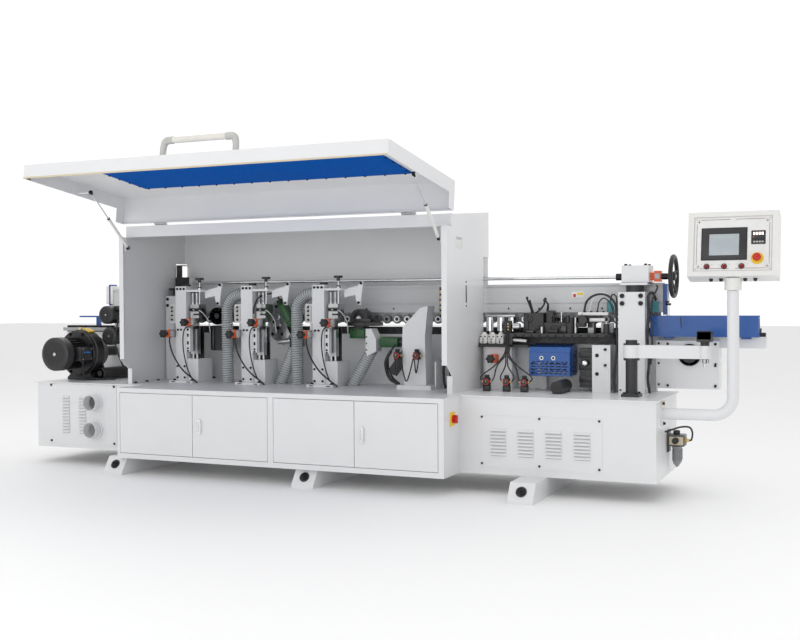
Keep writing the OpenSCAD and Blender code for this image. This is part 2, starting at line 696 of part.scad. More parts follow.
module cables() color(black) {
  for (x = unit_x) {
    bent_bar([[x + 32, 277, 880], [x - 10, 262, 790], [x + 40, 255, 680], [x + 130, 245, 600],
      [x + 185, 240, 540]], 9);
    bent_bar([[x + 112, 254, 900], [x + 80, 250, 860], [x + 90, 245, 760], [x + 120, 262, 640],
      [x + 120, 290, 600]], 9);
  }
  bent_bar([[-640, 265, 1000], [-623, 300, 1080], [-623, 360, 1110], [-540, 406, 1040]], 9);
  bent_bar([[300, 300, 760], [270, 290, 690], [300, 280, 600], [360, 270, 570]], 22, 12);
  bent_bar([[1450, 470, 972], [1490, 470, 1060], [1570, 470, 1090], [1630, 440, 1010],
    [1640, 430, 800], [1620, 420, 600]], 14, 12);
  bent_bar([[1812, 440, 1100], [1822, 430, 900], [1812, 425, 700], [1822, 420, 545]], 16, 12);
  bent_bar([[911, 320, 620], [960, 380, 680], [1000, 440, 770]], 9);
  bent_bar([[1030, 320, 620], [1015, 380, 690], [1010, 440, 770]], 9);
  bent_bar([[1137, 320, 620], [1060, 380, 690], [1020, 440, 770]], 9);
  bent_bar([[2051, 357, 294], [2066, 330, 330], [2070, 290, 372], [2000, 250, 352],
    [base_x1 + 5, 230, 350]], 10);
  bent_bar([[640, 390, 930], [628, 382, 800], [612, 376, 640], [612, 370, 543]], 14, 12);
}
module limit_switches() color(teal) {
  slab(1560, 1594, 530, 562, 990, 1052);
  slab(1816, 1850, 530, 562, 990, 1052);
  slab(1594, 1650, 540, 552, 1000, 1012);
  slab(1798, 1816, 540, 552, 1000, 1012);
  bar_z(1577, 546, 1052, 1060, 12, 16);
  bar_z(1833, 546, 1052, 1060, 12, 16);
}

// ---- banding tape carrier -----------------------------------------------
module tape_post() color(black) {
  slab(post_x - 48, post_x + 48, post_y - 48, post_y + 48, table_z, table_z + 16);
  bar_z(post_x, post_y, table_z + 16, 732, 64, 40);
  bar_z(post_x, post_y, 732, 744, 86, 40);
  bar_z(post_x, post_y, 744, 816, 44, 40);
  bar_z(post_x, post_y, 816, 824, 86, 40);
  bar_z(post_x, post_y, 824, 842, 62, 40);
}
module tape_arm() color(white) difference() {
  union() {
    bar_z(post_x, post_y, 745, 815, 88, 40);
    slab(post_x + 20, tape_x, post_y - 18, post_y + 18, 745, 815);
    bar_z(tape_x, post_y, 745, 815, 62, 32);
  }
  bar_z(post_x, post_y, 744, 816, 44.1, 40);
  bar_z(tape_x, post_y, 744, 816, 24.1, 28);
}
module tape_spindle() color(black) {
  bar_z(tape_x, post_y, 722, 834, 24, 28);
  bar_z(tape_x, post_y, 816, 836, 46, 28);
  slab(tape_x - 38, tape_x + 38, post_y - 38, post_y + 38, 836, 892);
  bar_z(tape_x, post_y, 724, 744, 40, 6);
}

// ---- pressure beam ------------------------------------------------------
module pressure_beam() color(grey) {
  difference() {
    slab(-2021, 1869, beam_y0, beam_y1, beam_z0 + 3, beam_z1);
    for (z = [1038, 1137]) slab(-2022, 1870, beam_y0 - 1, beam_y0 + 7, z, z + 7);
    slab(-2022, 1870, beam_y0 + 14, beam_y1 - 6, beam_z0 + 40, beam_z1 - 8);
  }
  slab(-1990, 1850, beam_y0 + 38, beam_y0 + 50, 930, beam_z0 + 3);
  slab(1869, 1892, beam_y0 - 3, beam_y1 + 4, 974, 1150);
  slab(-2030, -2021, beam_y0 - 14, beam_y1 + 4, 1040, 1190);
}
module beam_rollers() color(roller_grey) {
  for (i = [0 : 54]) {
    x = -1960 + i * 70;
    bar_y(x, beam_y0, beam_y0 + 22, 947, 58, 24);
    bar_y(x, beam_y0 + 22, beam_y0 + 38, 947, 22, 16);
  }
}
module lift_gearboxes() color(black) {
  difference() {
    union() {
      slab(1652, 1804, 500, 650, beam_z1, 1255);
      slab(1652, 1804, 452, 588, 1143, beam_z1);
      slab(-1424, -1312, 530, 640, beam_z1, 1232);
      slab(-1424, -1312, 452, 588, 1143, beam_z1);
      slab(-1430, -1424, 550, 610, beam_z1, 1310);
      slab(-1430, -1380, 550, 610, 1310, 1316);
      slab(1826, 1862, 545, 605, 1162, 1224);
      slab(1804, 1826, 552, 560, 1170, 1214);
    }
    bar_x(-1425, 1863, shaft_y, shaft_z, 20.1, 32);
  }
  bar_z(1727, 505, 900, 1143, 100, 40);
  bar_z(-1368, 505, 900, 1143, 100, 40);
}
module lift_shaft() color(chrome) {
  bar_x(-1424, 1905, shaft_y, shaft_z, 20, 32);
  bar_x(1606, 1644, shaft_y, shaft_z, 40, 28);
  bar_x(1870, 1900, shaft_y, shaft_z, 34, 28);
}
module handwheel() color(black) {
  translate([hand_x, shaft_y, shaft_z]) rotate([0, 90, 0]) {
    rotate_extrude($fn = 64) translate([112, 0]) circle(d = 26, $fn = 20);
    for (a = [18 : 72 : 306]) rotate([0, 0, a]) translate([20, -10, -5]) cube([86, 20, 10]);
  }
  bar_x(hand_x - 22, hand_x + 16, shaft_y, shaft_z, 50, 32);
}

// ---- fasteners and plates -----------------------------------------------
module fasteners() color(black) {
  for (x = feet_x) translate([x, -244, 60]) rotate([90 - 34.3, 0, 0]) {
    cylinder(d = 42, h = 9, $fn = 6);
    translate([0, 0, -16]) cylinder(d = 24, h = 16, $fn = 20);
  }
  for (x = unit_x) {
    for (u = [16, 42, 68]) bar_y(x + u, 281, 285, 1148, 16, 12);
    for (p = [[20, 880], [44, 880], [14, 640], [70, 640], [14, 566], [70, 566]])
      bar_y(x + p[0], 281, 285, p[1], 14, 12);
    for (z = [945, 975, 1005, 1030]) bar_y(x - 28, 288, 292, z, 12, 12);
    for (z = [760, 800, 850, 880]) bar_y(x + 112, 260, 264, z, 12, 12);
    bar_y(x + 312, 336, 340, 1172, 18, 12);
    bar_y(x + 294, 336, 340, 1052, 18, 12);
    for (p = [[110, 485], [150, 485]]) bar_z(x + p[0], p[1], 549, 558, 22, 12);
  }
  for (x = [1672, 1776]) for (z = [1040, 1082]) bar_y(x, 414, 420, z, 26, 16);
  for (x = [-1410, -1326]) for (z = [1040, 1082]) bar_y(x, 414, 420, z, 20, 16);
  for (x = [-2046, -1530]) for (z = [147, 516]) bar_y(x, -7, -3, z, 14, 12);
  for (x = [985, 1313, 1640]) for (z = [162, 419]) bar_y(x, -7, -3, z, 12, 12);
  for (x = [1900, 2160]) for (z = [575, 810]) bar_y(x, 556, 560, z, 14, 12);
  bar_y(2160, 556, 560, 690, 14, 12);
  for (p = [[150, 510], [170, 402]]) bar_x(base_x1 + 8, base_x1 + 18, p[0], p[1], 18, 14);
  for (z = [690, 780]) bar_y(1576, 414, 420, z, 16, 12);
}
module marking_plates() color(yellow) {
  difference() {
    slab(cab_x1, cab_x1 + 6, -164, -94, 376, 452);
    bar_x(cab_x1 - 1, cab_x1 + 7, -129, 414, 12, 20);
  }
  for (x = [-700, 372]) plate_xz(cab_y0 + 16, cab_y0 + 17, [[x - 2, 470], [x + 2, 470], [x, 474]]);
  slab(base_x1, base_x1 + 1, 210, 260, 480, 520);
  slab(hood_x1, hood_x1 + 1, 90, 190, 1360, 1430);
}

// ---- draw ---------------------------------------------------------------
base_frame();
front_cabinet();
floor_feet();
service_panels();
hood_shell();
conveyor_beam();
conveyor_chain();
guide_fences();
support_columns();
unit_stands();
unit_slides();
position_counters();
trim_motors();
cutter_heads();
feed_motor();
buffing_motors();
end_trim_cover();
air_preparation();
glue_table();
glue_guard();
valve_block();
control_pipe();
dust_hoses();
cables();
limit_switches();
tape_post();
fasteners();
marking_plates();
lid_shell();
lid_window();
lid_handle();
gas_spring_cylinders();
gas_spring_rods();
cabinet_door_1();
cabinet_door_2();
cabinet_door_3();
cabinet_door_4();
door_latch_1();
door_latch_2();
main_switch_knob();
pressure_beam();
beam_rollers();
lift_gearboxes();
lift_shaft();
handwheel();
control_box();
control_screen();
emergency_stop();
selector_1();
selector_2();
selector_3();
tape_arm();
tape_spindle();
counter_knob_1();
counter_knob_2();
counter_knob_3();
counter_knob_4();
counter_knob_5();
counter_knob_6();
counter_knob_7();
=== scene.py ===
"""Edge banding machine: materials, detailed pieces, stage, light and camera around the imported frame.

Lengths are in millimetres in the machine's own frame (+X along the feed, +Y to the back, +Z up)
and become metres when a piece is made. Places come from the frame's boxes wherever they can.
"""

from math import cos, hypot, pi, radians, sin

import bmesh
import bpy
from mathutils import Matrix, Vector


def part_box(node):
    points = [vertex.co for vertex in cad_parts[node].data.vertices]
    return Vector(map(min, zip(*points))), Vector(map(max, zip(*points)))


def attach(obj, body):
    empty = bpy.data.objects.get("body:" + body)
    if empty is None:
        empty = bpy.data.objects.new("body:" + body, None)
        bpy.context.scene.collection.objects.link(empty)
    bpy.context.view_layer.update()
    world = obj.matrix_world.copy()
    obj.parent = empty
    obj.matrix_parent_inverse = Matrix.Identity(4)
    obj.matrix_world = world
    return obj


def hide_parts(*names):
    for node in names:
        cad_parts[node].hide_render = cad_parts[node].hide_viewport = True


MM = 0.001
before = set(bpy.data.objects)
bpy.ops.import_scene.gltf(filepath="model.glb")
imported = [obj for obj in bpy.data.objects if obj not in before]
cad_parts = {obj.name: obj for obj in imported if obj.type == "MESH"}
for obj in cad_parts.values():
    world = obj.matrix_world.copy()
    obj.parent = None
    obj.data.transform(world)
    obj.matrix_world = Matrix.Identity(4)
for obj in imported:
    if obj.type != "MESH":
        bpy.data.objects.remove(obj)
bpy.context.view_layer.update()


# ---- materials ------------------------------------------------------------------------------


class Finish:
    """A procedural material on one Principled shader, fed by object-space noise."""

    def __init__(self, name, colour, rough, metal=0.0, **sockets):
        self.material = bpy.data.materials.new(name)
        self.material.use_nodes = True
        self.tree = self.material.node_tree
        self.shader = self.tree.nodes["Principled BSDF"]
        self.colour = (*colour, 1.0)
        self.rough = rough
        self.shader.inputs["Base Color"].default_value = self.colour
        self.shader.inputs["Roughness"].default_value = rough
        self.shader.inputs["Metallic"].default_value = metal
        for socket, value in sockets.items():
            self.shader.inputs[socket.replace("_", " ")].default_value = value
        self.place = self.node("ShaderNodeTexCoord").outputs["Object"]
        self.normal = None

    def node(self, kind, **values):
        made = self.tree.nodes.new(kind)
        for key, value in values.items():
            if key in made.inputs:
                made.inputs[key].default_value = value
            else:
                setattr(made, key, value)
        return made

    def link(self, output, socket):
        self.tree.links.new(output, socket)

    def stretch(self, scale):
        """Object coordinates scaled along each axis."""
        mapping = self.node("ShaderNodeMapping", Scale=scale)
        self.link(self.place, mapping.inputs["Vector"])
        return mapping.outputs["Vector"]

    def noise(self, scale, detail=3.0, stretch=None):
        texture = self.node("ShaderNodeTexNoise", Scale=scale, Detail=detail)
        self.link(self.stretch(stretch) if stretch else self.place, texture.inputs["Vector"])
        return texture.outputs["Fac"]

    def ramp(self, value, low, high, start=0.3, end=0.7):
        """A value from low to high as the input goes from start to end."""
        reach = self.node("ShaderNodeMapRange")
        for key, number in (("From Min", start), ("From Max", end), ("To Min", low), ("To Max", high)):
            reach.inputs[key].default_value = number
        self.link(value, reach.inputs["Value"])
        return reach.outputs["Result"]

    def mottle(self, scale, amount, tint=None, stretch=None):
        """Slow colour variation: the base colour drifts towards tint, or towards darker."""
        mix = self.node("ShaderNodeMix", data_type="RGBA")
        mix.inputs[6].default_value = self.colour
        dark = tint or tuple(c * (1 - amount) for c in self.colour[:3])
        mix.inputs[7].default_value = (*dark, 1.0)
        self.link(self.ramp(self.noise(scale, 5.0, stretch), 0.0, 1.0), mix.inputs[0])
        self.link(mix.outputs[2], self.shader.inputs["Base Color"])
        self.mixed = mix.outputs[2]
        return self

    def sheen_patches(self, scale, spread, stretch=None):
        """Roughness that varies over the surface, as handled or sprayed surfaces do."""
        value = self.ramp(self.noise(scale, 4.0, stretch), self.rough - spread, self.rough + spread)
        self.link(value, self.shader.inputs["Roughness"])
        return self

    def bumps(self, scale, strength, distance=0.001, stretch=None, detail=2.0):
        """Fine relief: orange peel, casting grain or brush lines."""
        bump = self.node("ShaderNodeBump", Strength=strength, Distance=distance)
        self.link(self.noise(scale, detail, stretch), bump.inputs["Height"])
        if self.normal:
            self.link(self.normal, bump.inputs["Normal"])
        self.normal = bump.outputs["Normal"]
        self.link(self.normal, self.shader.inputs["Normal"])
        return self

    def done(self):
        return self.material


def paint(name, colour, rough=0.34, grain=900.0, strength=0.12):
    """Powder coat: faint orange peel, slightly uneven gloss and tone."""
    coat = Finish(name, colour, rough, Coat_Weight=0.12, Coat_Roughness=0.2)
    coat.mottle(2.3, 0.035).sheen_patches(5.0, 0.06)
    coat.bumps(grain, strength, 0.0003).bumps(3.0, 0.05, 0.004)
    return coat.done()


def casting(name, colour, rough=0.45):
    """Sprayed cast iron or die-cast housing: coarse grain under semi-gloss enamel."""
    cast = Finish(name, colour, rough, Coat_Weight=0.2, Coat_Roughness=0.3)
    cast.mottle(14.0, 0.25).sheen_patches(30.0, 0.12)
    cast.bumps(420.0, 0.35, 0.0006).bumps(60.0, 0.15, 0.002)
    return cast.done()


def machined(name, colour, rough, direction, lines=420.0):
    """Ground or brushed metal with fine lines along one axis."""
    metal = Finish(name, colour, rough, 1.0)
    across = tuple(0.02 if axis == direction else 1.0 for axis in "XYZ")
    metal.mottle(9.0, 0.12).sheen_patches(lines, 0.1, across)
    metal.bumps(lines, 0.15, 0.0003, across)
    return metal.done()


def plastic(name, colour, rough, grain=1500.0, strength=0.1, **sockets):
    """Moulded plastic with a fine spark-eroded grain."""
    mould = Finish(name, colour, rough, **sockets)
    mould.mottle(25.0, 0.08).sheen_patches(60.0, 0.05)
    mould.bumps(grain, strength, 0.0002)
    return mould.done()


def rubber(name, colour, rough=0.7):
    """Dusty rubber: matt, mottled, slightly lighter where it is rubbed."""
    compound = Finish(name, colour, rough)
    lighter = tuple(min(1.0, c * 1.6 + 0.02) for c in colour)
    compound.mottle(35.0, 0.0, lighter).sheen_patches(90.0, 0.1)
    compound.bumps(700.0, 0.3, 0.0004)
    return compound.done()


def glow(name, colour, strength):
    """A lit display element."""
    lit = Finish(name, colour, 0.25, Emission_Color=(*colour, 1.0), Emission_Strength=strength)
    return lit.mottle(80.0, 0.05).done()


def clear_plastic(name, colour, rough, alpha):
    """Clear flexible PVC with milky haze."""
    haze = Finish(name, colour, rough, Alpha=alpha, Coat_Weight=0.6, Coat_Roughness=0.15)
    haze.mottle(18.0, 0.06).bumps(300.0, 0.1, 0.0005)
    return haze.done()


WHITE = paint("white_powder_coat", (0.76, 0.765, 0.775))
WHITE_BOX = paint("control_box_coat", (0.78, 0.775, 0.755), 0.38, 1200.0, 0.2)
BLUE = paint("blue_powder_coat", (0.010, 0.085, 0.33), 0.3)
GREEN = casting("green_enamel", (0.012, 0.10, 0.022), 0.4)
BLACK = casting("black_enamel", (0.018, 0.018, 0.02), 0.42)
SATIN_BLACK = paint("satin_black", (0.02, 0.02, 0.022), 0.42)
STEEL_X = machined("ground_steel_x", (0.62, 0.63, 0.64), 0.3, "X")
STEEL_Z = machined("ground_steel_z", (0.6, 0.61, 0.62), 0.28, "Z")
CHROME = machined("chromed_steel", (0.78, 0.79, 0.8), 0.12, "Z", 200.0)
ALUMINIUM = paint("anodised_extrusion", (0.60, 0.605, 0.615), 0.4, 500.0, 0.06)
DIE_CAST = casting("die_cast_grey", (0.42, 0.43, 0.43), 0.4)
DARK_STEEL = machined("oiled_dark_steel", (0.10, 0.10, 0.105), 0.42, "X", 260.0)
BLACK_OXIDE = machined("black_oxide", (0.035, 0.035, 0.038), 0.38, "Z", 600.0)
BRASS = machined("brass", (0.72, 0.52, 0.2), 0.3, "Z", 300.0)
BLACK_PLASTIC = plastic("black_plastic", (0.014, 0.014, 0.015), 0.42)
ORANGE = plastic("orange_housing", (0.80, 0.105, 0.012), 0.33)
RED = plastic("red_plastic", (0.55, 0.012, 0.01), 0.28)
YELLOW = plastic("yellow_plastic", (0.85, 0.55, 0.02), 0.32)
TEAL = plastic("teal_plastic", (0.035, 0.25, 0.28), 0.35)
SKY_BLUE = plastic("blue_plastic", (0.02, 0.16, 0.50), 0.3)
GREY_PLASTIC = plastic("grey_plastic", (0.52, 0.52, 0.50), 0.42)
BEIGE = plastic("beige_seal", (0.66, 0.58, 0.42), 0.6)
WINDOW = plastic("tinted_window", (0.0, 0.095, 0.44), 0.6, 40.0, 0.02, Specular_IOR_Level=0.02)
HOSE = clear_plastic("clear_hose", (0.74, 0.78, 0.79), 0.25, 0.62)
BOWL = clear_plastic("smoked_bowl", (0.30, 0.31, 0.32), 0.2, 0.8)
RUBBER = rubber("black_rubber", (0.015, 0.015, 0.016))
GREY_RUBBER = rubber("grey_tyre", (0.16, 0.165, 0.17), 0.62)
SCREEN_GLASS = plastic("screen_glass", (0.42, 0.47, 0.50), 0.18, 30.0, 0.02)
PAPER = plastic("label_white", (0.80, 0.80, 0.79), 0.4)
DIGITS = glow("red_digits", (0.95, 0.75, 0.65), 2.0)
# painted shade for the slots under the louvre lips
SHADE_GREY = plastic("louvre_shadow", (0.22, 0.22, 0.23), 0.8)
DARK_RED = plastic("line_print", (0.14, 0.012, 0.015), 0.4)
# painted shade seen through the glue guard's slots
SLOT_SHADE_BLUE = plastic("slot_shadow", (0.004, 0.012, 0.05), 0.8)
HANDLE_TUBE = plastic("handle_tube", (0.76, 0.74, 0.69), 0.38)
GREY_CAST = casting("grey_cast", (0.12, 0.12, 0.125), 0.42)
PALE_TUBE = plastic("pale_tube", (0.72, 0.72, 0.70), 0.35)

# ---- places on the machine, in millimetres ----------------------------------------------------

UNITS = (-1252, -746, -229)                  # left face of each trimming unit's column
FEED_MOTOR = (-2005, 720)                    # X and Z of the feed motor's axis
END_FACE = 1936                              # right end of the base
POST = (1763, 230)                           # X and Y of the banding tape post
TAPE_X = 2150                                # spindle of the banding tape roll
SHAFT = (575, 1192)                          # Y and Z of the cross shaft
HINGES = (-1181, 533)                        # lid hinges
HINGE_Y, HINGE_Z = 30, 1562                  # the lid's hinge line
LID_OPEN = 97.2                              # degrees from closed to raised
HANDLE_X, HANDLE_Z = -326, -850              # middle of the lid handle, in the closed lid
SPRINGS = (-1385, 745)                       # gas springs
SPRING_FOOT = (-32, 1409)                    # Y and Z of their lower pivots
SPRING_ANGLE = 137.63                        # degrees from +Y, with the lid raised
SPRING_REACH = 476.7                         # from pivot to pivot, with the lid raised
REGULATORS = (911, 1030, 1137)               # small regulators on the table
LID = Matrix.Translation((0, HINGE_Y, HINGE_Z)) @ Matrix.Rotation(radians(-LID_OPEN), 4, "X")
PANEL = Matrix.Translation((2301, 160, 1166)) @ Matrix.Rotation(radians(-12), 4, "X")



# ---- mesh tools -----------------------------------------------------------------------------


def box(node):
    """Lowest and highest corner of a node, in millimetres."""
    low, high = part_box(node)
    return low / MM, high / MM


def centre(node):
    low, high = box(node)
    return (low + high) / 2


def solids(node):
    """The boxes, in millimetres, of the separate solids in a node."""
    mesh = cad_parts[node].data
    spot = {}
    parent = []

    def find(i):
        while parent[i] != i:
            parent[i] = parent[parent[i]]
            i = parent[i]
        return i

    index = []
    for vertex in mesh.vertices:
        key = tuple(round(c / MM, 1) for c in vertex.co)
        if key not in spot:
            spot[key] = len(parent)
            parent.append(len(parent))
        index.append(spot[key])
    for face in mesh.polygons:
        first = find(index[face.vertices[0]])
        for corner in face.vertices[1:]:
            parent[find(index[corner])] = first
    boxes = {}
    for key, i in spot.items():
        low, high = boxes.setdefault(find(i), (list(key), list(key)))
        for axis in range(3):
            low[axis] = min(low[axis], key[axis])
            high[axis] = max(high[axis], key[axis])
    return sorted((Vector(low), Vector(high)) for low, high in boxes.values())


def turn_to(direction):
    """Rotation that takes +Z to a direction."""
    return Vector(direction).normalized().to_track_quat("Z", "Y").to_matrix().to_4x4()


def hexagon(angle):
    """Radius factor of a hexagon whose inscribed circle is 1."""
    return 1 / cos((angle + pi / 6) % (pi / 3) - pi / 6)


def lobes(count, depth):
    """Radius factor of a star knob's outline."""
    return lambda angle: 1 - depth * (0.5 - 0.5 * cos(count * angle)) ** 1.5


class Solid:
    """A mesh put together from lofted pieces, in millimetres; each may have its own material."""

    def __init__(self):
        self.mesh = bmesh.new()
        self.materials = []
        self.move = Matrix.Identity(4)

    def _slot(self, material):
        if material not in self.materials:
            self.materials.append(material)
        return self.materials.index(material)

    def _face(self, corners, slot, smooth):
        if len(set(corners)) > 2:
            face = self.mesh.faces.new(corners)
            face.material_index = slot
            face.smooth = smooth

    def loft(self, loops, material, smooth=True, caps=True):
        """Skin over loops of points that all have the same count."""
        slot = self._slot(material)
        rings = [[self.mesh.verts.new(self.move @ Vector(p)) for p in loop] for loop in loops]
        count = len(rings[0])
        for low, high in zip(rings, rings[1:]):
            for i in range(count):
                j = (i + 1) % count
                self._face((low[i], low[j], high[j], high[i]), slot, smooth)
        if caps:
            self._face(list(reversed(rings[0])), slot, False)
            self._face(rings[-1], slot, False)
        return self

    def lathe(self, origin, direction, stations, material, sides=32, smooth=True):
        """A turned shape: stations are (distance along the axis, radius, optional outline)."""
        pose = Matrix.Translation(Vector(origin)) @ turn_to(direction)
        loops = []
        for station in stations:
            along, radius = station[:2]
            outline = station[2] if len(station) > 2 else lambda angle: 1.0
            turn = [2 * pi * i / sides for i in range(sides)]
            loops.append([pose @ Vector((radius * outline(a) * cos(a), radius * outline(a) * sin(a), along))
                          for a in turn])
        return self.loft(loops, material, smooth)

    def rod(self, start, end, radius, material, sides=20, chamfer=0.0):
        """A round bar from start to end, with chamfered ends."""
        start, end = Vector(start), Vector(end)
        length = (end - start).length
        edge = min(chamfer, length / 3, radius / 2)
        stations = [(0, radius), (length, radius)]
        if edge > 0:
            stations = [(0, radius - edge), (edge, radius), (length - edge, radius),
                        (length, radius - edge)]
        return self.lathe(start, end - start, stations, material, sides)

    def tube(self, start, end, radius, wall, material, sides=32):
        """An open pipe with wall thickness."""
        start, end = Vector(start), Vector(end)
        length = (end - start).length
        stations = [(0, radius - wall), (0, radius), (length, radius), (length, radius - wall),
                    (0, radius - wall)]
        pose = Matrix.Translation(start) @ turn_to(end - start)
        turn = [2 * pi * i / sides for i in range(sides)]
        loops = [[pose @ Vector((r * cos(a), r * sin(a), z)) for a in turn] for z, r in stations]
        return self.loft(loops, material, True, False)

    def block(self, low, high, material, round_by=1.0, turn=None):
        """A block with rounded edges. turn is an optional matrix about its centre."""
        low, high = Vector(low), Vector(high)
        middle, half = (low + high) / 2, (high - low) / 2
        r = min(round_by, *(h * 0.45 for h in half))
        pose = Matrix.Translation(middle) @ (turn or Matrix.Identity(4))
        loops = []
        for z, inset in ((-half.z, r), (-half.z + 0.3 * r, 0.3 * r), (-half.z + r, 0), (half.z - r, 0),
                         (half.z - 0.3 * r, 0.3 * r), (half.z, r)):
            x, y = half.x - inset, half.y - inset
            corners = ((x, y, 0), (-x, y, 90), (-x, -y, 180), (x, -y, 270))
            loop = []
            for cx, cy, first in corners:
                kx, ky = cx - r * (1 if cx > 0 else -1), cy - r * (1 if cy > 0 else -1)
                for step in (0, 45, 90):
                    a = radians(first + step)
                    loop.append(pose @ Vector((kx + r * cos(a), ky + r * sin(a), z)))
            loops.append(loop)
        return self.loft(loops, material, False)

    def plate(self, outline, low, high, material, plane="XZ"):
        """A flat plate with an outline in one plane, between two depths."""
        order = {"XZ": lambda a, b, c: (a, c, b), "YZ": lambda a, b, c: (c, a, b), "XY": lambda a, b,
                 c: (a, b, c)}
        put = order[plane]
        loops = [[put(a, b, depth) for a, b in outline] for depth in (low, high)]
        return self.loft(loops, material, False)

    def torus(self, origin, direction, radius, thick, material, sides=48, round_sides=12, squash=1.0):
        """A ring; squash flattens its section across the plane."""
        pose = Matrix.Translation(Vector(origin)) @ turn_to(direction)
        loops = []
        for i in range(sides):
            a = 2 * pi * i / sides
            loops.append([pose @ Vector(((radius + thick * cos(b)) * cos(a),
                                         (radius + thick * cos(b)) * sin(a),
                                         thick * squash * sin(b)))
                          for b in (2 * pi * j / round_sides for j in range(round_sides))])
        return self.loft([*loops, loops[0]], material, True, False)

    def pipe(self, path, radius, material, sides=12, caps=True):
        """A tube along a path; radius is a number or a function of the distance run."""
        points = [Vector(p) for p in path]
        size = radius if callable(radius) else lambda run: radius
        loops = []
        run = 0.0
        side = None
        for i, point in enumerate(points):
            ahead = points[min(i + 1, len(points) - 1)] - points[max(i - 1, 0)]
            ahead.normalize()
            if side is None:
                side = ahead.orthogonal().normalized()
            side = (side - ahead * side.dot(ahead)).normalized()
            other = ahead.cross(side)
            if i:
                run += (point - points[i - 1]).length
            r = size(run)
            loops.append([point + side * (r * cos(a)) + other * (r * sin(a))
                          for a in (2 * pi * j / sides for j in range(sides))])
        return self.loft(loops, material, True, caps)

    def cap_screw(self, origin, direction, radius, height, material=None):
        """A socket head screw standing on origin."""
        metal = material or BLACK_OXIDE
        stations = [(0, radius * 0.96), (height * 0.1, radius), (height * 0.85, radius),
                    (height, radius * 0.86),
                    (height, radius * 0.5, hexagon), (height * 0.45, radius * 0.48, hexagon)]
        return self.lathe(origin, direction, stations, metal, 18, False)

    def hex_bolt(self, origin, direction, radius, height, material=None):
        """A hexagon head on a washer."""
        metal = material or BLACK_OXIDE
        self.lathe(origin, direction, [(0, radius * 1.35), (height * 0.16, radius * 1.35)], metal, 20,
                   False)
        stations = [(height * 0.16, radius * 0.9, hexagon), (height * 0.85, radius * 0.9, hexagon),
                    (height, radius * 0.8)]
        return self.lathe(origin, direction, stations, metal, 18, False)

    def piece(self, name, body, replaces=()):
        """Makes the object, scaled to metres, riding on a body."""
        data = bpy.data.meshes.new(name)
        bmesh.ops.recalc_face_normals(self.mesh, faces=self.mesh.faces)
        bmesh.ops.scale(self.mesh, vec=(MM, MM, MM), verts=self.mesh.verts)
        self.mesh.to_mesh(data)
        self.mesh.free()
        data.set_sharp_from_angle(angle=radians(38))
        made = bpy.data.objects.new(name, data)
        bpy.context.scene.collection.objects.link(made)
        for material in self.materials:
            data.materials.append(material)
        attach(made, body)
        if replaces:
            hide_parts(*replaces)
        return made


def smooth_path(points, steps=8):
    """A Catmull-Rom curve through the points."""
    p = [Vector(q) for q in points]
    p = [p[0] * 2 - p[1], *p, p[-1] * 2 - p[-2]]
    path = []
    for a, b, c, d in zip(p, p[1:], p[2:], p[3:]):
        for i in range(steps):
            t = i / steps
            path.append(0.5 * ((2 * b) + (c - a) * t + (2 * a - 5 * b + 4 * c - d) * t * t
                               + (3 * b - 3 * c + d - a) * t ** 3))
    return [*path, p[-2]]


def dress(node, material, edge=1.2, rules=()):
    """Materials and softened edges for a CAD node; rules are (test on a face centre, material)."""
    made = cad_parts[node]
    made.data.materials.clear()
    for each in (material, *(rule[1] for rule in rules)):
        made.data.materials.append(each)
    for face in made.data.polygons:
        spot = Vector(face.center) / MM
        face.material_index = 0
        for number, (test, _) in enumerate(rules, 1):
            if test(spot):
                face.material_index = number
    made.data.shade_smooth()
    made.data.set_sharp_from_angle(angle=radians(30))
    if edge:
        bevel = made.modifiers.new("soft_edges", "BEVEL")
        bevel.width = edge * MM
        bevel.segments = 2
        bevel.limit_method = "ANGLE"
        bevel.angle_limit = radians(50)
        bevel.harden_normals = False
    return made


# ---- CAD nodes that stay --------------------------------------------------------------------


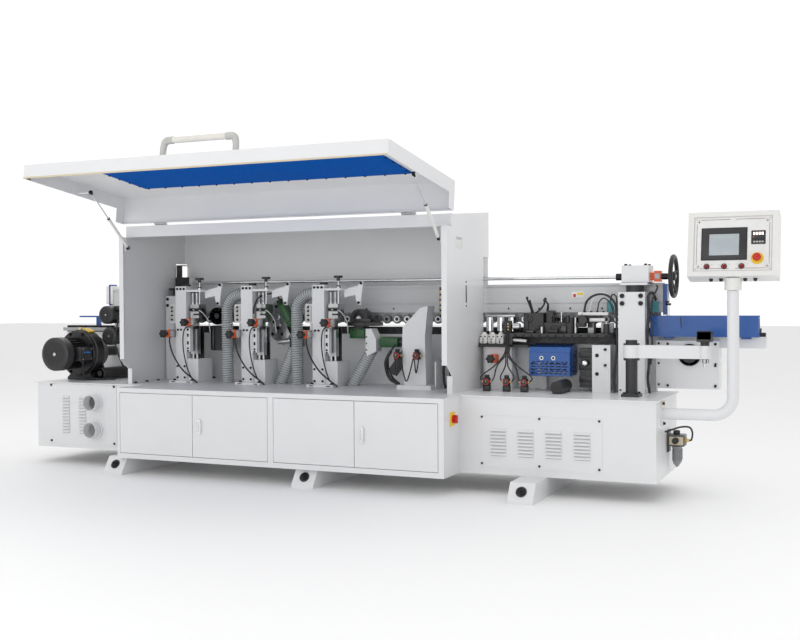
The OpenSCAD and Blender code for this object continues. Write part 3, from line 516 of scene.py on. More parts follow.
def dress_frame():
    """Finishes for every CAD node that is shown as it is."""
    for node in ("base_frame", "front_cabinet", "floor_feet", "service_panels", "hood_shell",
                 "conveyor_beam", "support_columns", "end_trim_cover", "lid_shell", "tape_arm",
                 "control_pipe",
                 "cabinet_door_1", "cabinet_door_2", "cabinet_door_3", "cabinet_door_4"):
        dress(node, WHITE, 1.5)
    dress("unit_stands", WHITE, 1.2)
    dress("control_box", WHITE_BOX, 2.5)
    dress("conveyor_chain", RUBBER, 1.0)
    dress("guide_fences", BLUE, 1.5)
    dress("unit_slides", STEEL_Z, 0.8)
    dress("trim_motors", GREEN, 1.5)
    dress("cutter_heads", BLACK, 1.2)
    dress("feed_motor", BLACK, 1.0)
    dress("buffing_motors", BLACK, 1.5)
    dress("air_preparation", BLACK_PLASTIC, 1.0)
    dress("glue_table", BLACK, 1.5)
    dress("glue_guard", BLUE, 0.8)
    dress("valve_block", WHITE_BOX, 1.5)
    dress("limit_switches", TEAL, 1.5)
    dress("tape_post", SATIN_BLACK, 1.2)
    dress("tape_spindle", SATIN_BLACK, 1.5)
    dress("marking_plates", YELLOW, 0.4)
    dress("lid_window", WINDOW, 0.5)
    dress("lid_handle", GREY_PLASTIC, 3.0)
    dress("gas_spring_cylinders", WHITE_BOX, 0.6)
    dress("gas_spring_rods", CHROME, 0.3)
    dress("door_latch_1", CHROME, 1.0)
    dress("door_latch_2", CHROME, 1.0)
    dress("main_switch_knob", RED, 1.5)
    low, high = box("pressure_beam")
    gearbox_left = box("lift_gearboxes")[0].x
    above_beam = low.z + 188
    dress("pressure_beam", ALUMINIUM, 1.0, [
        (lambda spot: spot.x > high.x - 24.5 or spot.x < low.x + 9.5, BLUE)])
    dress("lift_gearboxes", WHITE, 1.5, [
        (lambda spot: spot.z < above_beam or spot.x < gearbox_left + 100, SATIN_BLACK),
        (lambda spot: spot.x > 1810, ORANGE)])
    dress("lift_shaft", CHROME, 0.5, [
        (lambda spot: 1600 < spot.x < 1650 or 1869 < spot.x < 1901, BLACK_OXIDE)])
    dress("handwheel", BLACK_PLASTIC, 1.0)
    dress("control_screen", BLACK_PLASTIC, 1.5)
    dress("emergency_stop", RED, 1.5)
    for name in ("selector_1", "selector_2", "selector_3"):
        dress(name, RED, 0.8)


# ---- stage ----------------------------------------------------------------------------------


def make_stage():
    """Pale floor, soft studio light and the camera at the photograph's viewing angle."""
    scene = bpy.context.scene
    scene.view_settings.view_transform = "Standard"
    ground = bpy.data.meshes.new("floor")
    reach = 40.0
    ground.from_pydata([(-reach, -reach, 0), (reach, -reach, 0), (reach, reach, 0), (-reach, reach, 0)],
                       [], [(0, 1, 2, 3)])
    floor = bpy.data.objects.new("floor", ground)
    scene.collection.objects.link(floor)
    pale = Finish("pale_floor", (0.96, 0.96, 0.96), 0.6)
    ground.materials.append(pale.mottle(0.6, 0.01).bumps(200.0, 0.03, 0.0005).done())

    world = bpy.data.worlds.new("studio")
    scene.world = world
    world.use_nodes = True
    sky = world.node_tree
    around = sky.nodes.new("ShaderNodeTexCoord")
    split = sky.nodes.new("ShaderNodeSeparateXYZ")
    brightness = sky.nodes.new("ShaderNodeMapRange")
    for key, number in (("From Min", -0.1), ("From Max", 0.35), ("To Min", 0.62), ("To Max", 1.05)):
        brightness.inputs[key].default_value = number
    sky.links.new(around.outputs["Generated"], split.inputs["Vector"])
    sky.links.new(split.outputs["Y"], brightness.inputs["Value"])
    sky.links.new(brightness.outputs["Result"], sky.nodes["Background"].inputs["Strength"])
    sky.nodes["Background"].inputs["Color"].default_value = (1.0, 1.0, 1.0, 1.0)

    def panel_light(name, place, aim, size, power, colour=(1.0, 1.0, 1.0)):
        data = bpy.data.lights.new(name, "AREA")
        data.shape = "RECTANGLE"
        data.size, data.size_y = size
        data.energy = power
        data.color = colour
        lamp = bpy.data.objects.new(name, data)
        lamp.location = place
        lamp.rotation_euler = (Vector(aim) - Vector(place)).to_track_quat("-Z", "Y").to_euler()
        scene.collection.objects.link(lamp)

    panel_light("front_left", (-4.5, -7.0, 4.5), (0.0, 0.0, 0.8), (6.0, 4.0), 95.0)
    panel_light("front_low", (1.0, -7.5, 1.6), (-0.2, 0.2, 1.0), (7.0, 2.6), 75.0)
    panel_light("top", (0.5, -1.5, 6.5), (0.0, 0.0, 0.5), (9.0, 6.0), 95.0)
    panel_light("right_fill", (7.0, -4.5, 3.0), (0.5, 0.0, 0.8), (4.0, 4.0), 40.0)

    data = bpy.data.cameras.new("camera")
    data.lens = 48.26
    data.sensor_width = 36.0
    camera = bpy.data.objects.new("camera", data)
    eye = (2.95534, -5.60053, 1.05597)
    pitch, roll, heading = 90 - 0.972, 0.314, 23.734
    camera.location = eye
    camera.rotation_euler = (radians(pitch), radians(roll), radians(heading))
    scene.collection.objects.link(camera)
    scene.camera = camera


# ---- detailed pieces ------------------------------------------------------------------------


def make_screws():
    """Socket head screws where the frame has its plain fasteners."""
    made = Solid()
    for low, high in solids("fasteners"):
        size = high - low
        middle = (low + high) / 2
        if size.z > 30 and size.y > 20:                       # levelling bolts in the feet's slopes
            slope = Vector((0, -0.826, 0.563))
            spot = Vector((middle.x, -244, 60))
            made.lathe(spot, slope, [(0, 30), (3, 30), (4, 28)], SATIN_BLACK, 32)
            made.lathe(spot, slope, [(3, 19, hexagon), (14, 19, hexagon), (16, 17)], BLACK_OXIDE, 24, False)
            made.rod(spot + slope * 14, spot + slope * 24, 9, BLACK_OXIDE, 16, 2)
        elif size.y < min(size.x, size.z) * 0.9:
            made.cap_screw((middle.x, high.y, middle.z), (0, -1, 0), size.x / 2, size.y * 1.6)
        elif size.z < size.x * 0.9:
            made.hex_bolt((middle.x, middle.y, low.z), (0, 0, 1), size.x / 2 * 0.8, size.z * 1.4)
        else:
            made.hex_bolt((low.x, middle.y, middle.z), (1, 0, 0), size.y / 2 * 0.8, size.x * 1.1)
    made.piece("cap_screws", "frame", ["fasteners"])


def hose(made, path, radius, pitch):
    """A clear corrugated hose with a steel helix, along a fine path."""
    points = [Vector(p) for p in path]
    lengths = [0.0]
    for a, b in zip(points, points[1:]):
        lengths.append(lengths[-1] + (b - a).length)
    count = int(lengths[-1] / (pitch / 4))
    fine = []
    step = 0
    for i in range(count + 1):
        run = lengths[-1] * i / count
        while step < len(points) - 2 and lengths[step + 1] < run:
            step += 1
        share = (run - lengths[step]) / max(1e-6, lengths[step + 1] - lengths[step])
        fine.append(points[step].lerp(points[step + 1], min(1.0, share)))
    made.pipe(fine, lambda run: radius - 3.0 + 1.6 * cos(2 * pi * run / pitch), HOSE, 28, False)
    helix = []
    turns = lengths[-1] / pitch
    sides = 20
    side = None
    for i in range(int(turns * sides) + 1):
        place = i / (turns * sides) * count
        low = min(int(place), count - 1)
        spot = fine[low].lerp(fine[low + 1], place - low)
        ahead = (fine[min(low + 1, count)] - fine[max(low - 1, 0)]).normalized()
        if side is None:
            side = ahead.orthogonal().normalized()
        side = (side - ahead * side.dot(ahead)).normalized()
        other = ahead.cross(side)
        a = 2 * pi * i / sides
        helix.append(spot + side * ((radius - 1.2) * cos(a)) + other * ((radius - 1.2) * sin(a)))
    made.pipe(helix, 1.5, DARK_STEEL, 5)


def make_hoses():
    """Clear dust hoses: two that rise and bend to the right, two that lean."""
    made = Solid()
    table = box("base_frame")[1].z
    depth, top, radius, pitch = 400, 1000, 110, 15.0
    for x in (-924, -402):
        path = [(x, depth, table - 55)]
        for step in range(0, 91, 6):
            a = radians(step)
            path.append((x + radius - radius * cos(a), depth, top + radius * sin(a)))
        path.append((x + radius + 40, depth, top + radius))
        hose(made, path, 40, pitch)
    for start, end in (((-545, 400, 490), (-440, 430, 760)), ((-50, 400, 470), (120, 430, 770))):
        hose(made, [start, end], 38, pitch)
    made.piece("corrugated_hoses", "frame", ["dust_hoses"])


def make_counters():
    """Orange position counters with a window, a clamp screw and a collar."""
    made = Solid()
    for low, high in solids("position_counters"):
        if high.z - low.z < 35 and high.y - low.y < 30:
            continue
        middle = (low + high) / 2
        made.block(low, high, ORANGE, 6.0)
        made.block((low.x + 8, low.y - 1.5, high.z - 19), (high.x - 8, low.y + 2, high.z - 6),
                   SCREEN_GLASS, 1.5)
        for i in range(3):
            made.block((low.x + 11 + i * 8, low.y - 2.2, high.z - 16),
                       (low.x + 17 + i * 8, low.y, high.z - 9),
                       BLACK_PLASTIC, 0.5)
        made.lathe((middle.x, low.y - 2, middle.z), (0, 1, 0), [(0, 13), (1, 14), (8, 14)],
                   BLACK_PLASTIC, 28)
        made.cap_screw((high.x, middle.y, low.z + 9), (1, 0, 0), 3.5, 3)
    made.piece("counter_housings", "frame", ["position_counters"])


def star_grip(made, front):
    """A six-lobed grip whose front face is at a point; its axis is Y."""
    star = lobes(6, 0.24)
    made.lathe(front, (0, 1, 0), [(0, 17), (1.5, 20, star), (5, 25.5, star), (9, 27, star), (20, 27, star),
                                  (24, 25, star), (27, 20, star), (29, 13)], BLACK_PLASTIC, 72)


def make_knobs():
    """Six-lobed star grips on steel stems."""
    for i in range(1, 7):
        node = f"counter_knob_{i}"
        low, high = box(node)
        middle = (low + high) / 2
        made = Solid()
        star_grip(made, (middle.x, low.y, middle.z))
        made.lathe((middle.x, low.y + 29, middle.z), (0, 1, 0), [(0, 12), (18, 10.5), (20, 9)],
                   BLACK_PLASTIC, 28)
        made.lathe((middle.x, low.y + 40, middle.z), (0, 1, 0), [(0, 6), (high.y - low.y - 40, 6)],
                   STEEL_Z, 20)
        made.lathe((middle.x, low.y - 0.8, middle.z), (0, 1, 0), [(0, 7), (0.8, 8), (2, 8)], SATIN_BLACK,
                   24)
        made.piece(f"star_knob_{i}", f"knob_{i}", [node])


def make_rollers():
    """Pressure rollers: grey tyres on hubs with a bearing, and a nut, along the beam."""
    made = Solid()
    for low, high in solids("beam_rollers"):
        middle = (low + high) / 2
        front = (middle.x, low.y, middle.z)
        radius = (high.z - low.z) / 2
        made.lathe(front, (0, 1, 0), [(1.5, radius - 11), (0, radius - 9), (0, radius - 3), (3, radius),
                                      (18, radius), (21, radius - 3)], GREY_RUBBER, 36)
        made.lathe(front, (0, 1, 0), [(1, radius - 18), (0.5, radius - 10), (4, radius - 10)], STEEL_Z, 32)
        made.lathe(front, (0, 1, 0), [(-2, 6, hexagon), (1.5, 6, hexagon)], BLACK_OXIDE, 18, False)
        made.lathe(front, (0, 1, 0), [(0.2, 9.5), (0.6, 11), (2, 11)], BLACK_OXIDE, 24)
        made.rod((middle.x, low.y + 20, middle.z), (middle.x, high.y, middle.z), 10, STEEL_Z, 16)
    made.piece("roller_row", "beam", ["beam_rollers"])


def cable(made, points, radius=4.5, material=None):
    """A round cable on a smooth route."""
    made.pipe(smooth_path(points, 6), radius, material or RUBBER, 10)


def make_louvres():
    """Open-bottomed louvre lips over the panels' slats, with a grey strip of painted shade in the slot
    under each.
    """
    made = Solid()
    groups = ((-1955, -1893, 200, 450, 12), (-1819, -1757, 200, 450, 12),
              *((1033 + i * 156, 1125 + i * 156, 206, 358, 8) for i in range(4)))
    for x0, x1, z0, z1, count in groups:
        pitch = (z1 - z0) / count
        for i in range(count):
            z = z0 + pitch * (i + 0.5)
            made.plate([(-3, z + 8), (-11, z - 4), (-11, z - 6), (-9, z - 6), (-3, z + 3)], x0 + 2, x1 - 2,
                       WHITE, "YZ")
            # grey strip painted as the shade in the slot under this lip
            made.block((x0 + 4, -4.2, z - 9), (x1 - 4, -3.0, z - 3), SHADE_GREY, 0.3)
    made.piece("louvre_lips", "frame")


def make_labels():
    """Plain coloured plates: white with a red or yellow band, and yellow ones with a dark spot."""
    made = Solid()
    for low, high in solids("marking_plates"):
        size = high - low
        middle = (low + high) / 2
        if size.y > 3 and size.x > 3:
            made.block(low, high, YELLOW, 1.0)
        elif size.x < 3:
            made.block(low, high, PAPER if size.z > 60 else YELLOW, 0.3)
            made.block((high.x - 0.2, low.y + 6, middle.z + size.z * 0.2),
                       (high.x + 0.3, high.y - 6, high.z - 5),
                       GREY_PLASTIC, 0.1)
        else:
            white = size.z > 36
            made.block(low, high, PAPER if white else YELLOW, 0.3)
            if white:
                made.block((low.x + 4, low.y - 0.3, high.z - 14), (high.x - 4, low.y + 0.1, high.z - 5),
                           RED, 0.1)
                for i in range(3):
                    z = low.z + 6 + i * 6
                    made.block((low.x + 5, low.y - 0.3, z), (high.x - 5, low.y + 0.1, z + 2),
                               GREY_PLASTIC, 0.1)
            else:
                made.lathe((middle.x, low.y + 0.1, middle.z), (0, -1, 0), [(0, 8), (0.4, 8)],
                           SATIN_BLACK, 20)
    made.piece("plain_labels", "frame", ["marking_plates"])


def make_control_head():
    """The control panel's face: plate with a line frame, touch screen, controller, glands."""
    face = Solid()
    face.move = PANEL
    face.block((-190, -57.5, 30), (190, -54, 312), PAPER, 1.0)
    for x in (-181, 179):
        face.block((x, -58, 62), (x + 2, -57.2, 280), DARK_RED, 0.2)
    for z in (40, 300):
        for x0, x1 in ((-160, -14), (14, 160)):
            face.block((x0, -58, z), (x1, -57.2, z + 2), DARK_RED, 0.2)
    for sx in (-1, 1):
        for sz in (-1, 1):
            x, z = 170 * sx, 171 + 120 * sz
            face.block((x - 10, -58, z - 1), (x + 10, -57.2, z + 1), DARK_RED, 0.2)
            face.block((x - 1, -58, z - 10), (x + 1, -57.2, z + 10), DARK_RED, 0.2)
            face.cap_screw((182 * sx, -57.4, 171 + 132 * sz), (0, -1, 0), 3, 2, GREY_PLASTIC)
    for x, z in ((-127, 52), (-40, 52), (46, 52)):
        for dx in (-26, 26):
            face.block((x + dx - 5, -58, z + 10), (x + dx + 5, -57.2, z + 12), GREY_PLASTIC, 0.2)
    face.lathe((122, -57.2, 92), (0, -1, 0), [(0, 31), (3, 31), (5, 28), (9, 24)], YELLOW, 40)
    for x in (-110, -60, 60, 110):
        face.lathe((x, 0, 2), (0, 0, -1), [(0, 11), (4, 11), (4, 9, hexagon), (12, 9, hexagon), (16, 6)],
                   BLACK_PLASTIC, 24)
    face.piece("panel_face", "control_head")

    screen = Solid()
    screen.move = PANEL
    screen.block((-157, -61, 84), (72, -54, 257), BLACK_PLASTIC, 7.0)
    screen.block((-150, -62.5, 91), (65, -60, 250), SATIN_BLACK, 4.0)
    screen.block((-116, -63, 110), (32, -61.8, 222), SCREEN_GLASS, 1.5)
    screen.block((-108, -63.4, 204), (24, -62.6, 206), GREY_PLASTIC, 0.2)
    screen.block((-110, -54, 90), (68, -34, 252), BLACK_PLASTIC, 3.0)
    screen.block((91, -60, 166), (161, -54, 238), BLACK_PLASTIC, 3.0)
    screen.block((96, -61, 196), (156, -59.6, 232), SATIN_BLACK, 1.0)
    for i in range(4):
        screen.block((101 + i * 13.5, -61.5, 214), (110 + i * 13.5, -60.8, 228), DIGITS, 0.8)
    for i in range(4):
        screen.block((101 + i * 13.5, -61.8, 174), (111 + i * 13.5, -59.8, 182), GREY_PLASTIC, 1.0)
    screen.lathe((103, -60, 203), (0, -1, 0), [(0, 3.5), (2, 3)], ORANGE, 16)
    screen.piece("touch_screen_and_controller", "control_head", ["control_screen"])

    stop = Solid()
    stop.move = PANEL
    stop.lathe((122, -38, 92), (0, -1, 0), [(0, 11), (42, 11), (42, 16), (46, 20.5), (52, 21), (57, 18),
                                            (60, 11),
                                            (60.6, 4)], RED, 40)
    stop.piece("stop_mushroom", "stop_button", ["emergency_stop"])

    for letter, number, x in (("a", 1, -127), ("b", 2, -40), ("c", 3, 46)):
        knob = Solid()
        knob.move = PANEL
        knob.lathe((x, -34, 52), (0, -1, 0), [(0, 7), (22, 7), (22, 15), (26, 15), (27.5, 13.5),
                                              (27.5, 11)],
                   BLACK_PLASTIC, 36)
        knob.lathe((x, -61.5, 52), (0, -1, 0), [(0, 11), (4, 10.5), (4.5, 9)], RED, 36)
        knob.block((x - 4, -76, 40), (x + 4, -65, 64), BLACK_PLASTIC, 2.5)
        knob.block((x - 0.8, -76.3, 55), (x + 0.8, -75.5, 63), PAPER, 0.3)
        knob.piece(f"selector_knob_{letter}", f"selector_{letter}", [f"selector_{number}"])


def make_handwheel():
    """Dished handwheel with five spokes."""
    low, high = box("handwheel")
    middle = Vector((1927, (low.y + high.y) / 2, (low.z + high.z) / 2))
    radius = (high.z - low.z) / 2 - 13
    made = Solid()
    made.torus(middle + Vector((4, 0, 0)), (1, 0, 0), radius, 12.5, BLACK_PLASTIC, 72, 16)
    made.lathe(middle - Vector((22, 0, 0)), (1, 0, 0), [(0, 22), (3, 25), (30, 25), (38, 17), (38, 11)],
               BLACK_PLASTIC)
    made.lathe(middle + Vector((15, 0, 0)), (1, 0, 0), [(0, 9, hexagon), (3, 9, hexagon)], STEEL_X, 18,
               False)
    for i in range(5):
        a = radians(90 + 72 * i)
        along = Vector((0, cos(a), sin(a)))
        across = Vector((0, -sin(a), cos(a)))
        loops = []
        for share, wide, thick, drop in ((0, 13, 7, -8), (0.35, 11, 6, -6), (0.75, 9, 5.5, 0),
                                         (1.0, 12, 8, 4)):
            spot = middle + along * (20 + share * (radius - 26)) + Vector((drop, 0, 0))
            loops.append([spot + across * (wide * cos(t)) + Vector((thick * sin(t), 0, 0))
                          for t in (2 * pi * j / 16 for j in range(16))])
        made.loft(loops, BLACK_PLASTIC)
    made.piece("dished_wheel", "lift_wheel", ["handwheel"])


def make_lid_handle():
    """Light tube held by two curved cast brackets, swung open with the lid."""
    made = Solid()
    made.move = LID
    middle, z = HANDLE_X, HANDLE_Z

    def taper(run):
        return 20.5 - min(3.0, max(0.0, run - 40) * 0.06)

    made.rod((middle - 190, -268, z), (middle + 190, -268, z), 17, HANDLE_TUBE, 28, 2)
    for side in (-1, 1):
        path = [(middle + side * 170, -268, z), (middle + side * 205, -267, z),
                (middle + side * 222, -256, z), (middle + side * 229, -232, z),
                (middle + side * 231, -205, z), (middle + side * 231, -176, z)]
        made.pipe(smooth_path(path, 5), taper, GREY_PLASTIC, 20)
        x = middle + side * 221
        made.block((x - 32 if side < 0 else x - 12, -184, z - 19),
                   (x + 12 if side < 0 else x + 32, -176, z + 19),
                   GREY_PLASTIC, 4.0)
    made.piece("curved_handle", "lid", ["lid_handle"])


def make_lid_trim():
    """Screws round the window, a pale seal on the front lip and two small black blocks at the lid's ends.
    """
    made = Solid()
    made.move = LID
    for i in range(15):
        x = -1105 + i * 122.5
        made.cap_screw((x, -169, -236), (0, 1, 0), 6, 5)
    for i in range(6):
        for x in (-1128, 648):
            made.cap_screw((x, -169, -300 - i * 95), (0, 1, 0), 6, 5)
    made.block((-1476, -105, -901.5), (806, -95.5, -897.5), BEIGE, 1.0)
    for x in (-1476.5, 801.5):
        made.block((x, -150, -880), (x + 5, -100, -845), SATIN_BLACK, 1.5)
    made.piece("lid_screws_and_seal", "lid")


def make_gas_springs():
    """Ball-end fittings and the collar on each barrel."""
    lean = Matrix.Rotation(radians(SPRING_ANGLE - 90), 4, "X")
    made = Solid()
    ends = Solid()
    for x in SPRINGS:
        pose = Matrix.Translation((x, *SPRING_FOOT)) @ lean
        made.move = pose
        made.lathe((0, 0, 9), (0, 0, 1), [(0, 5), (4, 9.6), (248, 9.6), (252, 9.6), (255, 6)], WHITE_BOX,
                   28)
        made.lathe((0, 0, 252), (0, 0, 1), [(0, 10), (9, 10), (11, 7)], BLACK_PLASTIC, 28)
        made.lathe((-8, 0, 0), (1, 0, 0), [(0, 8), (1, 12), (15, 12), (16, 8)], BLACK_OXIDE, 24)
        ends.move = pose
        ends.rod((0, 0, 214), (0, 0, 466), 4, CHROME, 20)
        ends.lathe((0, 0, 458), (0, 0, 1), [(0, 5.5), (5, 5.5), (7, 7)], BLACK_OXIDE, 20)
        ends.lathe((-8, 0, SPRING_REACH), (1, 0, 0), [(0, 8), (1, 12), (15, 12), (16, 8)], BLACK_OXIDE, 24)
    made.piece("spring_barrels", "gas_cylinders", ["gas_spring_cylinders"])
    ends.piece("spring_rods", "gas_rods", ["gas_spring_rods"])


def ribbed_motor(made, back, front, radius, paint_colour, fins=22):
    """A motor along a line: fan cover with rings at the front, finned body behind it."""
    back, front = Vector(back), Vector(front)
    ahead = (back - front).normalized()
    length = (back - front).length
    made.lathe(front, ahead, [(0, radius * 0.62), (0, radius * 0.82), (3, radius * 0.92),
                              (8, radius * 0.99),
                              (length * 0.3, radius), (length * 0.3, radius * 0.86)], paint_colour, 48)
    for i in range(4):
        made.torus(front - ahead * 0.5, ahead, radius * (0.2 + 0.16 * i), 1.3, SATIN_BLACK, 40, 6)
    made.lathe(front, ahead, [(0, radius * 0.1), (-1.5, radius * 0.08)], STEEL_X, 20)
    for i in range(12):
        a = 2 * pi * i / 12
        side = ahead.orthogonal().normalized()
        other = ahead.cross(side)
        out = side * cos(a) + other * sin(a)
        made.rod(front + out * radius * 0.22 - ahead * 0.6, front + out * radius * 0.68 - ahead * 0.6, 1.1,
                 SATIN_BLACK, 6)
    made.lathe(front + ahead * length * 0.28, ahead, [(0, radius * 0.8), (length * 0.7, radius * 0.8)],
               paint_colour, 40)
    for i in range(fins):
        a = 2 * pi * i / fins
        side = ahead.orthogonal().normalized()
        other = ahead.cross(side)
        out = side * cos(a) + other * sin(a)
        wide = side * -sin(a) + other * cos(a)
        start, end = front + ahead * length * 0.32, front + ahead * length * 0.94
        loop = [(radius * 0.78, -1.6), (radius * 0.78, 1.6), (radius * 0.94, 1.0), (radius * 0.94, -1.0)]
        made.loft([[spot + out * r + wide * w for r, w in loop] for spot in (start, end)], paint_colour,
                  False)
    return made


def make_feed_motor():
    """Feed motor with its gearbox on a bolted flange, and the flat cylinder beside it."""
    x, z = FEED_MOTOR
    made = Solid()
    ribbed_motor(made, (x, 206, z), (x, -20, z), 112, BLACK, 30)
    made.block((x + 66, 78, z - 48), (x + 138, 186, z + 44), BLACK, 6)
    made.block((x + 136, 84, z - 42), (x + 148, 180, z + 38), BLACK, 5)
    made.block((x + 147, 96, z + 4), (x + 149.5, 168, z + 14), SKY_BLUE, 1)
    for dy in (90, 174):
        for dz in (-36, 32):
            made.cap_screw((x + 148, dy, z + dz), (1, 0, 0), 4, 3, STEEL_X)
    made.rod((x + 110, 130, z - 48), (x + 110, 130, z - 66), 13, BLACK_PLASTIC, 20, 2)
    made.lathe((x, 198, z), (0, 1, 0), [(0, 146), (4, 150), (28, 150), (32, 157), (98, 158), (102, 150),
                                        (112, 140), (205, 106), (208, 60), (214, 34), (404, 34)], BLACK, 64)
    for i in range(8):
        a = radians(22.5 + 45 * i)
        spot = (x + 138 * cos(a), 198, z + 138 * sin(a))
        made.hex_bolt(spot, (0, -1, 0), 10, 10, BLACK_OXIDE)
    made.lathe((x - 20, 262, z + 156), (0, 0, 1), [(0, 14), (4, 14), (4, 9, hexagon), (14, 9, hexagon),
                                                   (18, 5)],
               BRASS, 24)
    made.block((x + 34, 232, z + 148), (x + 86, 288, z + 158), YELLOW, 1,
               Matrix.Rotation(radians(24), 4, "Y"))
    made.block((x - 110, 232, 535), (x + 110, 400, 556), BLACK, 4)
    made.plate([(x - 92, 556), (x + 92, 556), (x + 70, 640), (x - 70, 640)], 236, 262, BLACK)
    made.plate([(x - 92, 556), (x + 92, 556), (x + 70, 640), (x - 70, 640)], 366, 392, BLACK)
    for dx in (-96, 96):
        for y in (250, 382):
            made.hex_bolt((x + dx, y, 556), (0, 0, 1), 11, 12)
    made.rod((-1852, 250, 579), (-1852, 560, 579), 39, SATIN_BLACK, 36, 4)
    made.lathe((-1852, 250, 579), (0, -1, 0), [(-2, 34), (0, 34), (0, 20), (-4, 18)], BLACK_PLASTIC, 32)
    made.block((-1884, 262, 535), (-1820, 548, 556), SATIN_BLACK, 2)
    made.piece("feed_drive", "frame", ["feed_motor"])


def make_buffing_motors():
    """Two small finned motors with polishing wheels behind the hood's left side."""
    made = Solid()
    for x, z, wheel in ((-1828, 977, 75), (-1803, 833, 58)):
        ribbed_motor(made, (x, 450, z), (x, 286, z), 62, BLACK, 24)
        made.block((x + 36, 330, z + 30), (x + 74, 400, z + 62), BLACK, 4)
        made.rod((x, 450, z), (x, 505, z), 13, STEEL_X, 20)
        stations = [(0, 14)]
        for i in range(9):
            stations += [(6 + i * 6, wheel - 2.5), (9 + i * 6, wheel)]
        made.lathe((x, 500, z), (0, 1, 0), [*stations, (60, 14)], BEIGE, 40)
    made.piece("buffing_heads", "frame", ["buffing_motors"])


def make_trim_motors():
    """Green high-speed motors: square bodies with rounded edges, ribs and end caps."""
    made = Solid()
    lean = Matrix.Rotation(radians(-28), 4, "Y")
    made.move = Matrix.Translation((-505, 425, 985)) @ lean
    made.block((-26, 0, -86), (26, 55, 86), GREEN, 5)
    for i in range(9):
        made.block((-27.5, 6, -70 + i * 16), (27.5, 49, -64 + i * 16), GREEN, 1.5)
    made.block((-20, -10, -62), (20, 1, 62), GREEN, 4)
    made.block((-22, 2, 84), (22, 50, 100), BLACK, 4)
    made.move = Matrix.Identity(4)
    for x0, x1, y0, y1, z0, z1, cap in ((-45, 60, 430, 520, 828, 888, 24),
                                        (178, 298, 400, 480, 776, 840, 32)):
        made.block((x0, y0, z0), (x1, y1, z1), GREEN, 6)
        for i in range(6):
            x = x0 + 10 + i * (x1 - x0 - 24) / 5.5
            made.block((x, y0 - 2, z0 + 6), (x + 5, y1 + 2, z1 - 6), GREEN, 1.5)
        made.rod((x1, (y0 + y1) / 2, (z0 + z1) / 2), (x1 + cap, (y0 + y1) / 2, (z0 + z1) / 2), 24, BLACK,
                 28, 3)
    made.block((600, 400, 842), (690, 500, 925), GREEN, 6)
    for i in range(5):
        made.block((598, 406, 852 + i * 14), (692, 494, 857 + i * 14), GREEN, 1.5)
    made.rod((645, 450, 925), (645, 450, 960), 25, BLACK, 28, 3)
    made.piece("green_motors", "frame", ["trim_motors"])


def make_unit_fittings():
    """Small fittings on each trimming unit: springs, clamps, nuts, dark strips of painted shade in the
    feet's slots and air fittings.
    """
    made = Solid()
    for x in UNITS:
        for dx in (108, 138):
            coil = []
            for i in range(161):
                a = 2 * pi * i / 16
                coil.append((x + dx + 11 * cos(a), 330 + 11 * sin(a), 1050 + i * 0.46))
            made.pipe(coil, 1.8, STEEL_Z, 6)
            made.lathe((x + dx, 330, 1122), (0, 0, 1), [(0, 13, hexagon), (6, 13, hexagon)], BLACK_OXIDE,
                       18, False)
        for z in (920, 1000):
            made.block((x + 100, 300, z), (x + 162, 314, z + 22), DARK_STEEL, 2)
            made.cap_screw((x + 112, 300, z + 11), (0, -1, 0), 6, 5)
            made.cap_screw((x + 148, 300, z + 11), (0, -1, 0), 6, 5)
        made.block((x + 150, 296, 890), (x + 166, 312, 900), BLACK_OXIDE, 1)
        made.lathe((x + 160, 330, 1206), (0, 0, 1), [(0, 20), (4, 28), (10, 28), (14, 22)],
                   BLACK_PLASTIC, 36)
        made.lathe((x + 60, 330, 1165), (0, 0, 1), [(0, 24), (3, 26), (9, 26), (13, 22)], BLACK_PLASTIC, 36)
        made.lathe((x + 160, 330, 1142), (0, 0, 1), [(0, 14, hexagon), (10, 14, hexagon)], STEEL_Z, 18,
                   False)
        made.rod((x + 160, 330, 1046), (x + 160, 330, 1206), 5.5, STEEL_Z, 16)
        for z in (744, 790, 840, 884):
            made.cap_screw((x + 112, 264, z), (0, -1, 0), 6, 5)
        made.block((x - 54, 288, 934), (x - 8, 292, 1036), GREY_PLASTIC, 2)
        for z in (948, 974, 1000, 1024):
            made.cap_screw((x - 31, 288, z), (0, -1, 0), 6, 5)
        for dx, dz in ((130, 930), (-32, 856)):
            made.block((x + dx + 22, 232, dz - 18), (x + dx + 44, 262, dz + 20), DIE_CAST, 3)
            made.rod((x + dx + 4, 262, dz), (x + dx + 4, 292, dz), 14, DIE_CAST, 24, 2)
        for u in (6, 124):
            # dark strips painted as the shade in the slots at the foot plates' front edge
            made.block((x + u, 224.2, 539), (x + u + 30, 225.4, 544), SATIN_BLACK, 0.4)
        for dx, dy in ((14, 250), (150, 250), (14, 505), (150, 505)):
            made.hex_bolt((x + dx, dy, 549), (0, 0, 1), 10, 10)
        made.rod((x + 128, 330, 600), (x + 128, 330, 692), 16, CHROME, 24, 2)
        made.block((x + 104, 350, 640), (x + 150, 396, 900), DARK_STEEL, 3)
        made.block((x + 20, 296, 1165), (x + 78, 344, 1168), DARK_STEEL, 1)
    made.piece("unit_fittings", "frame")


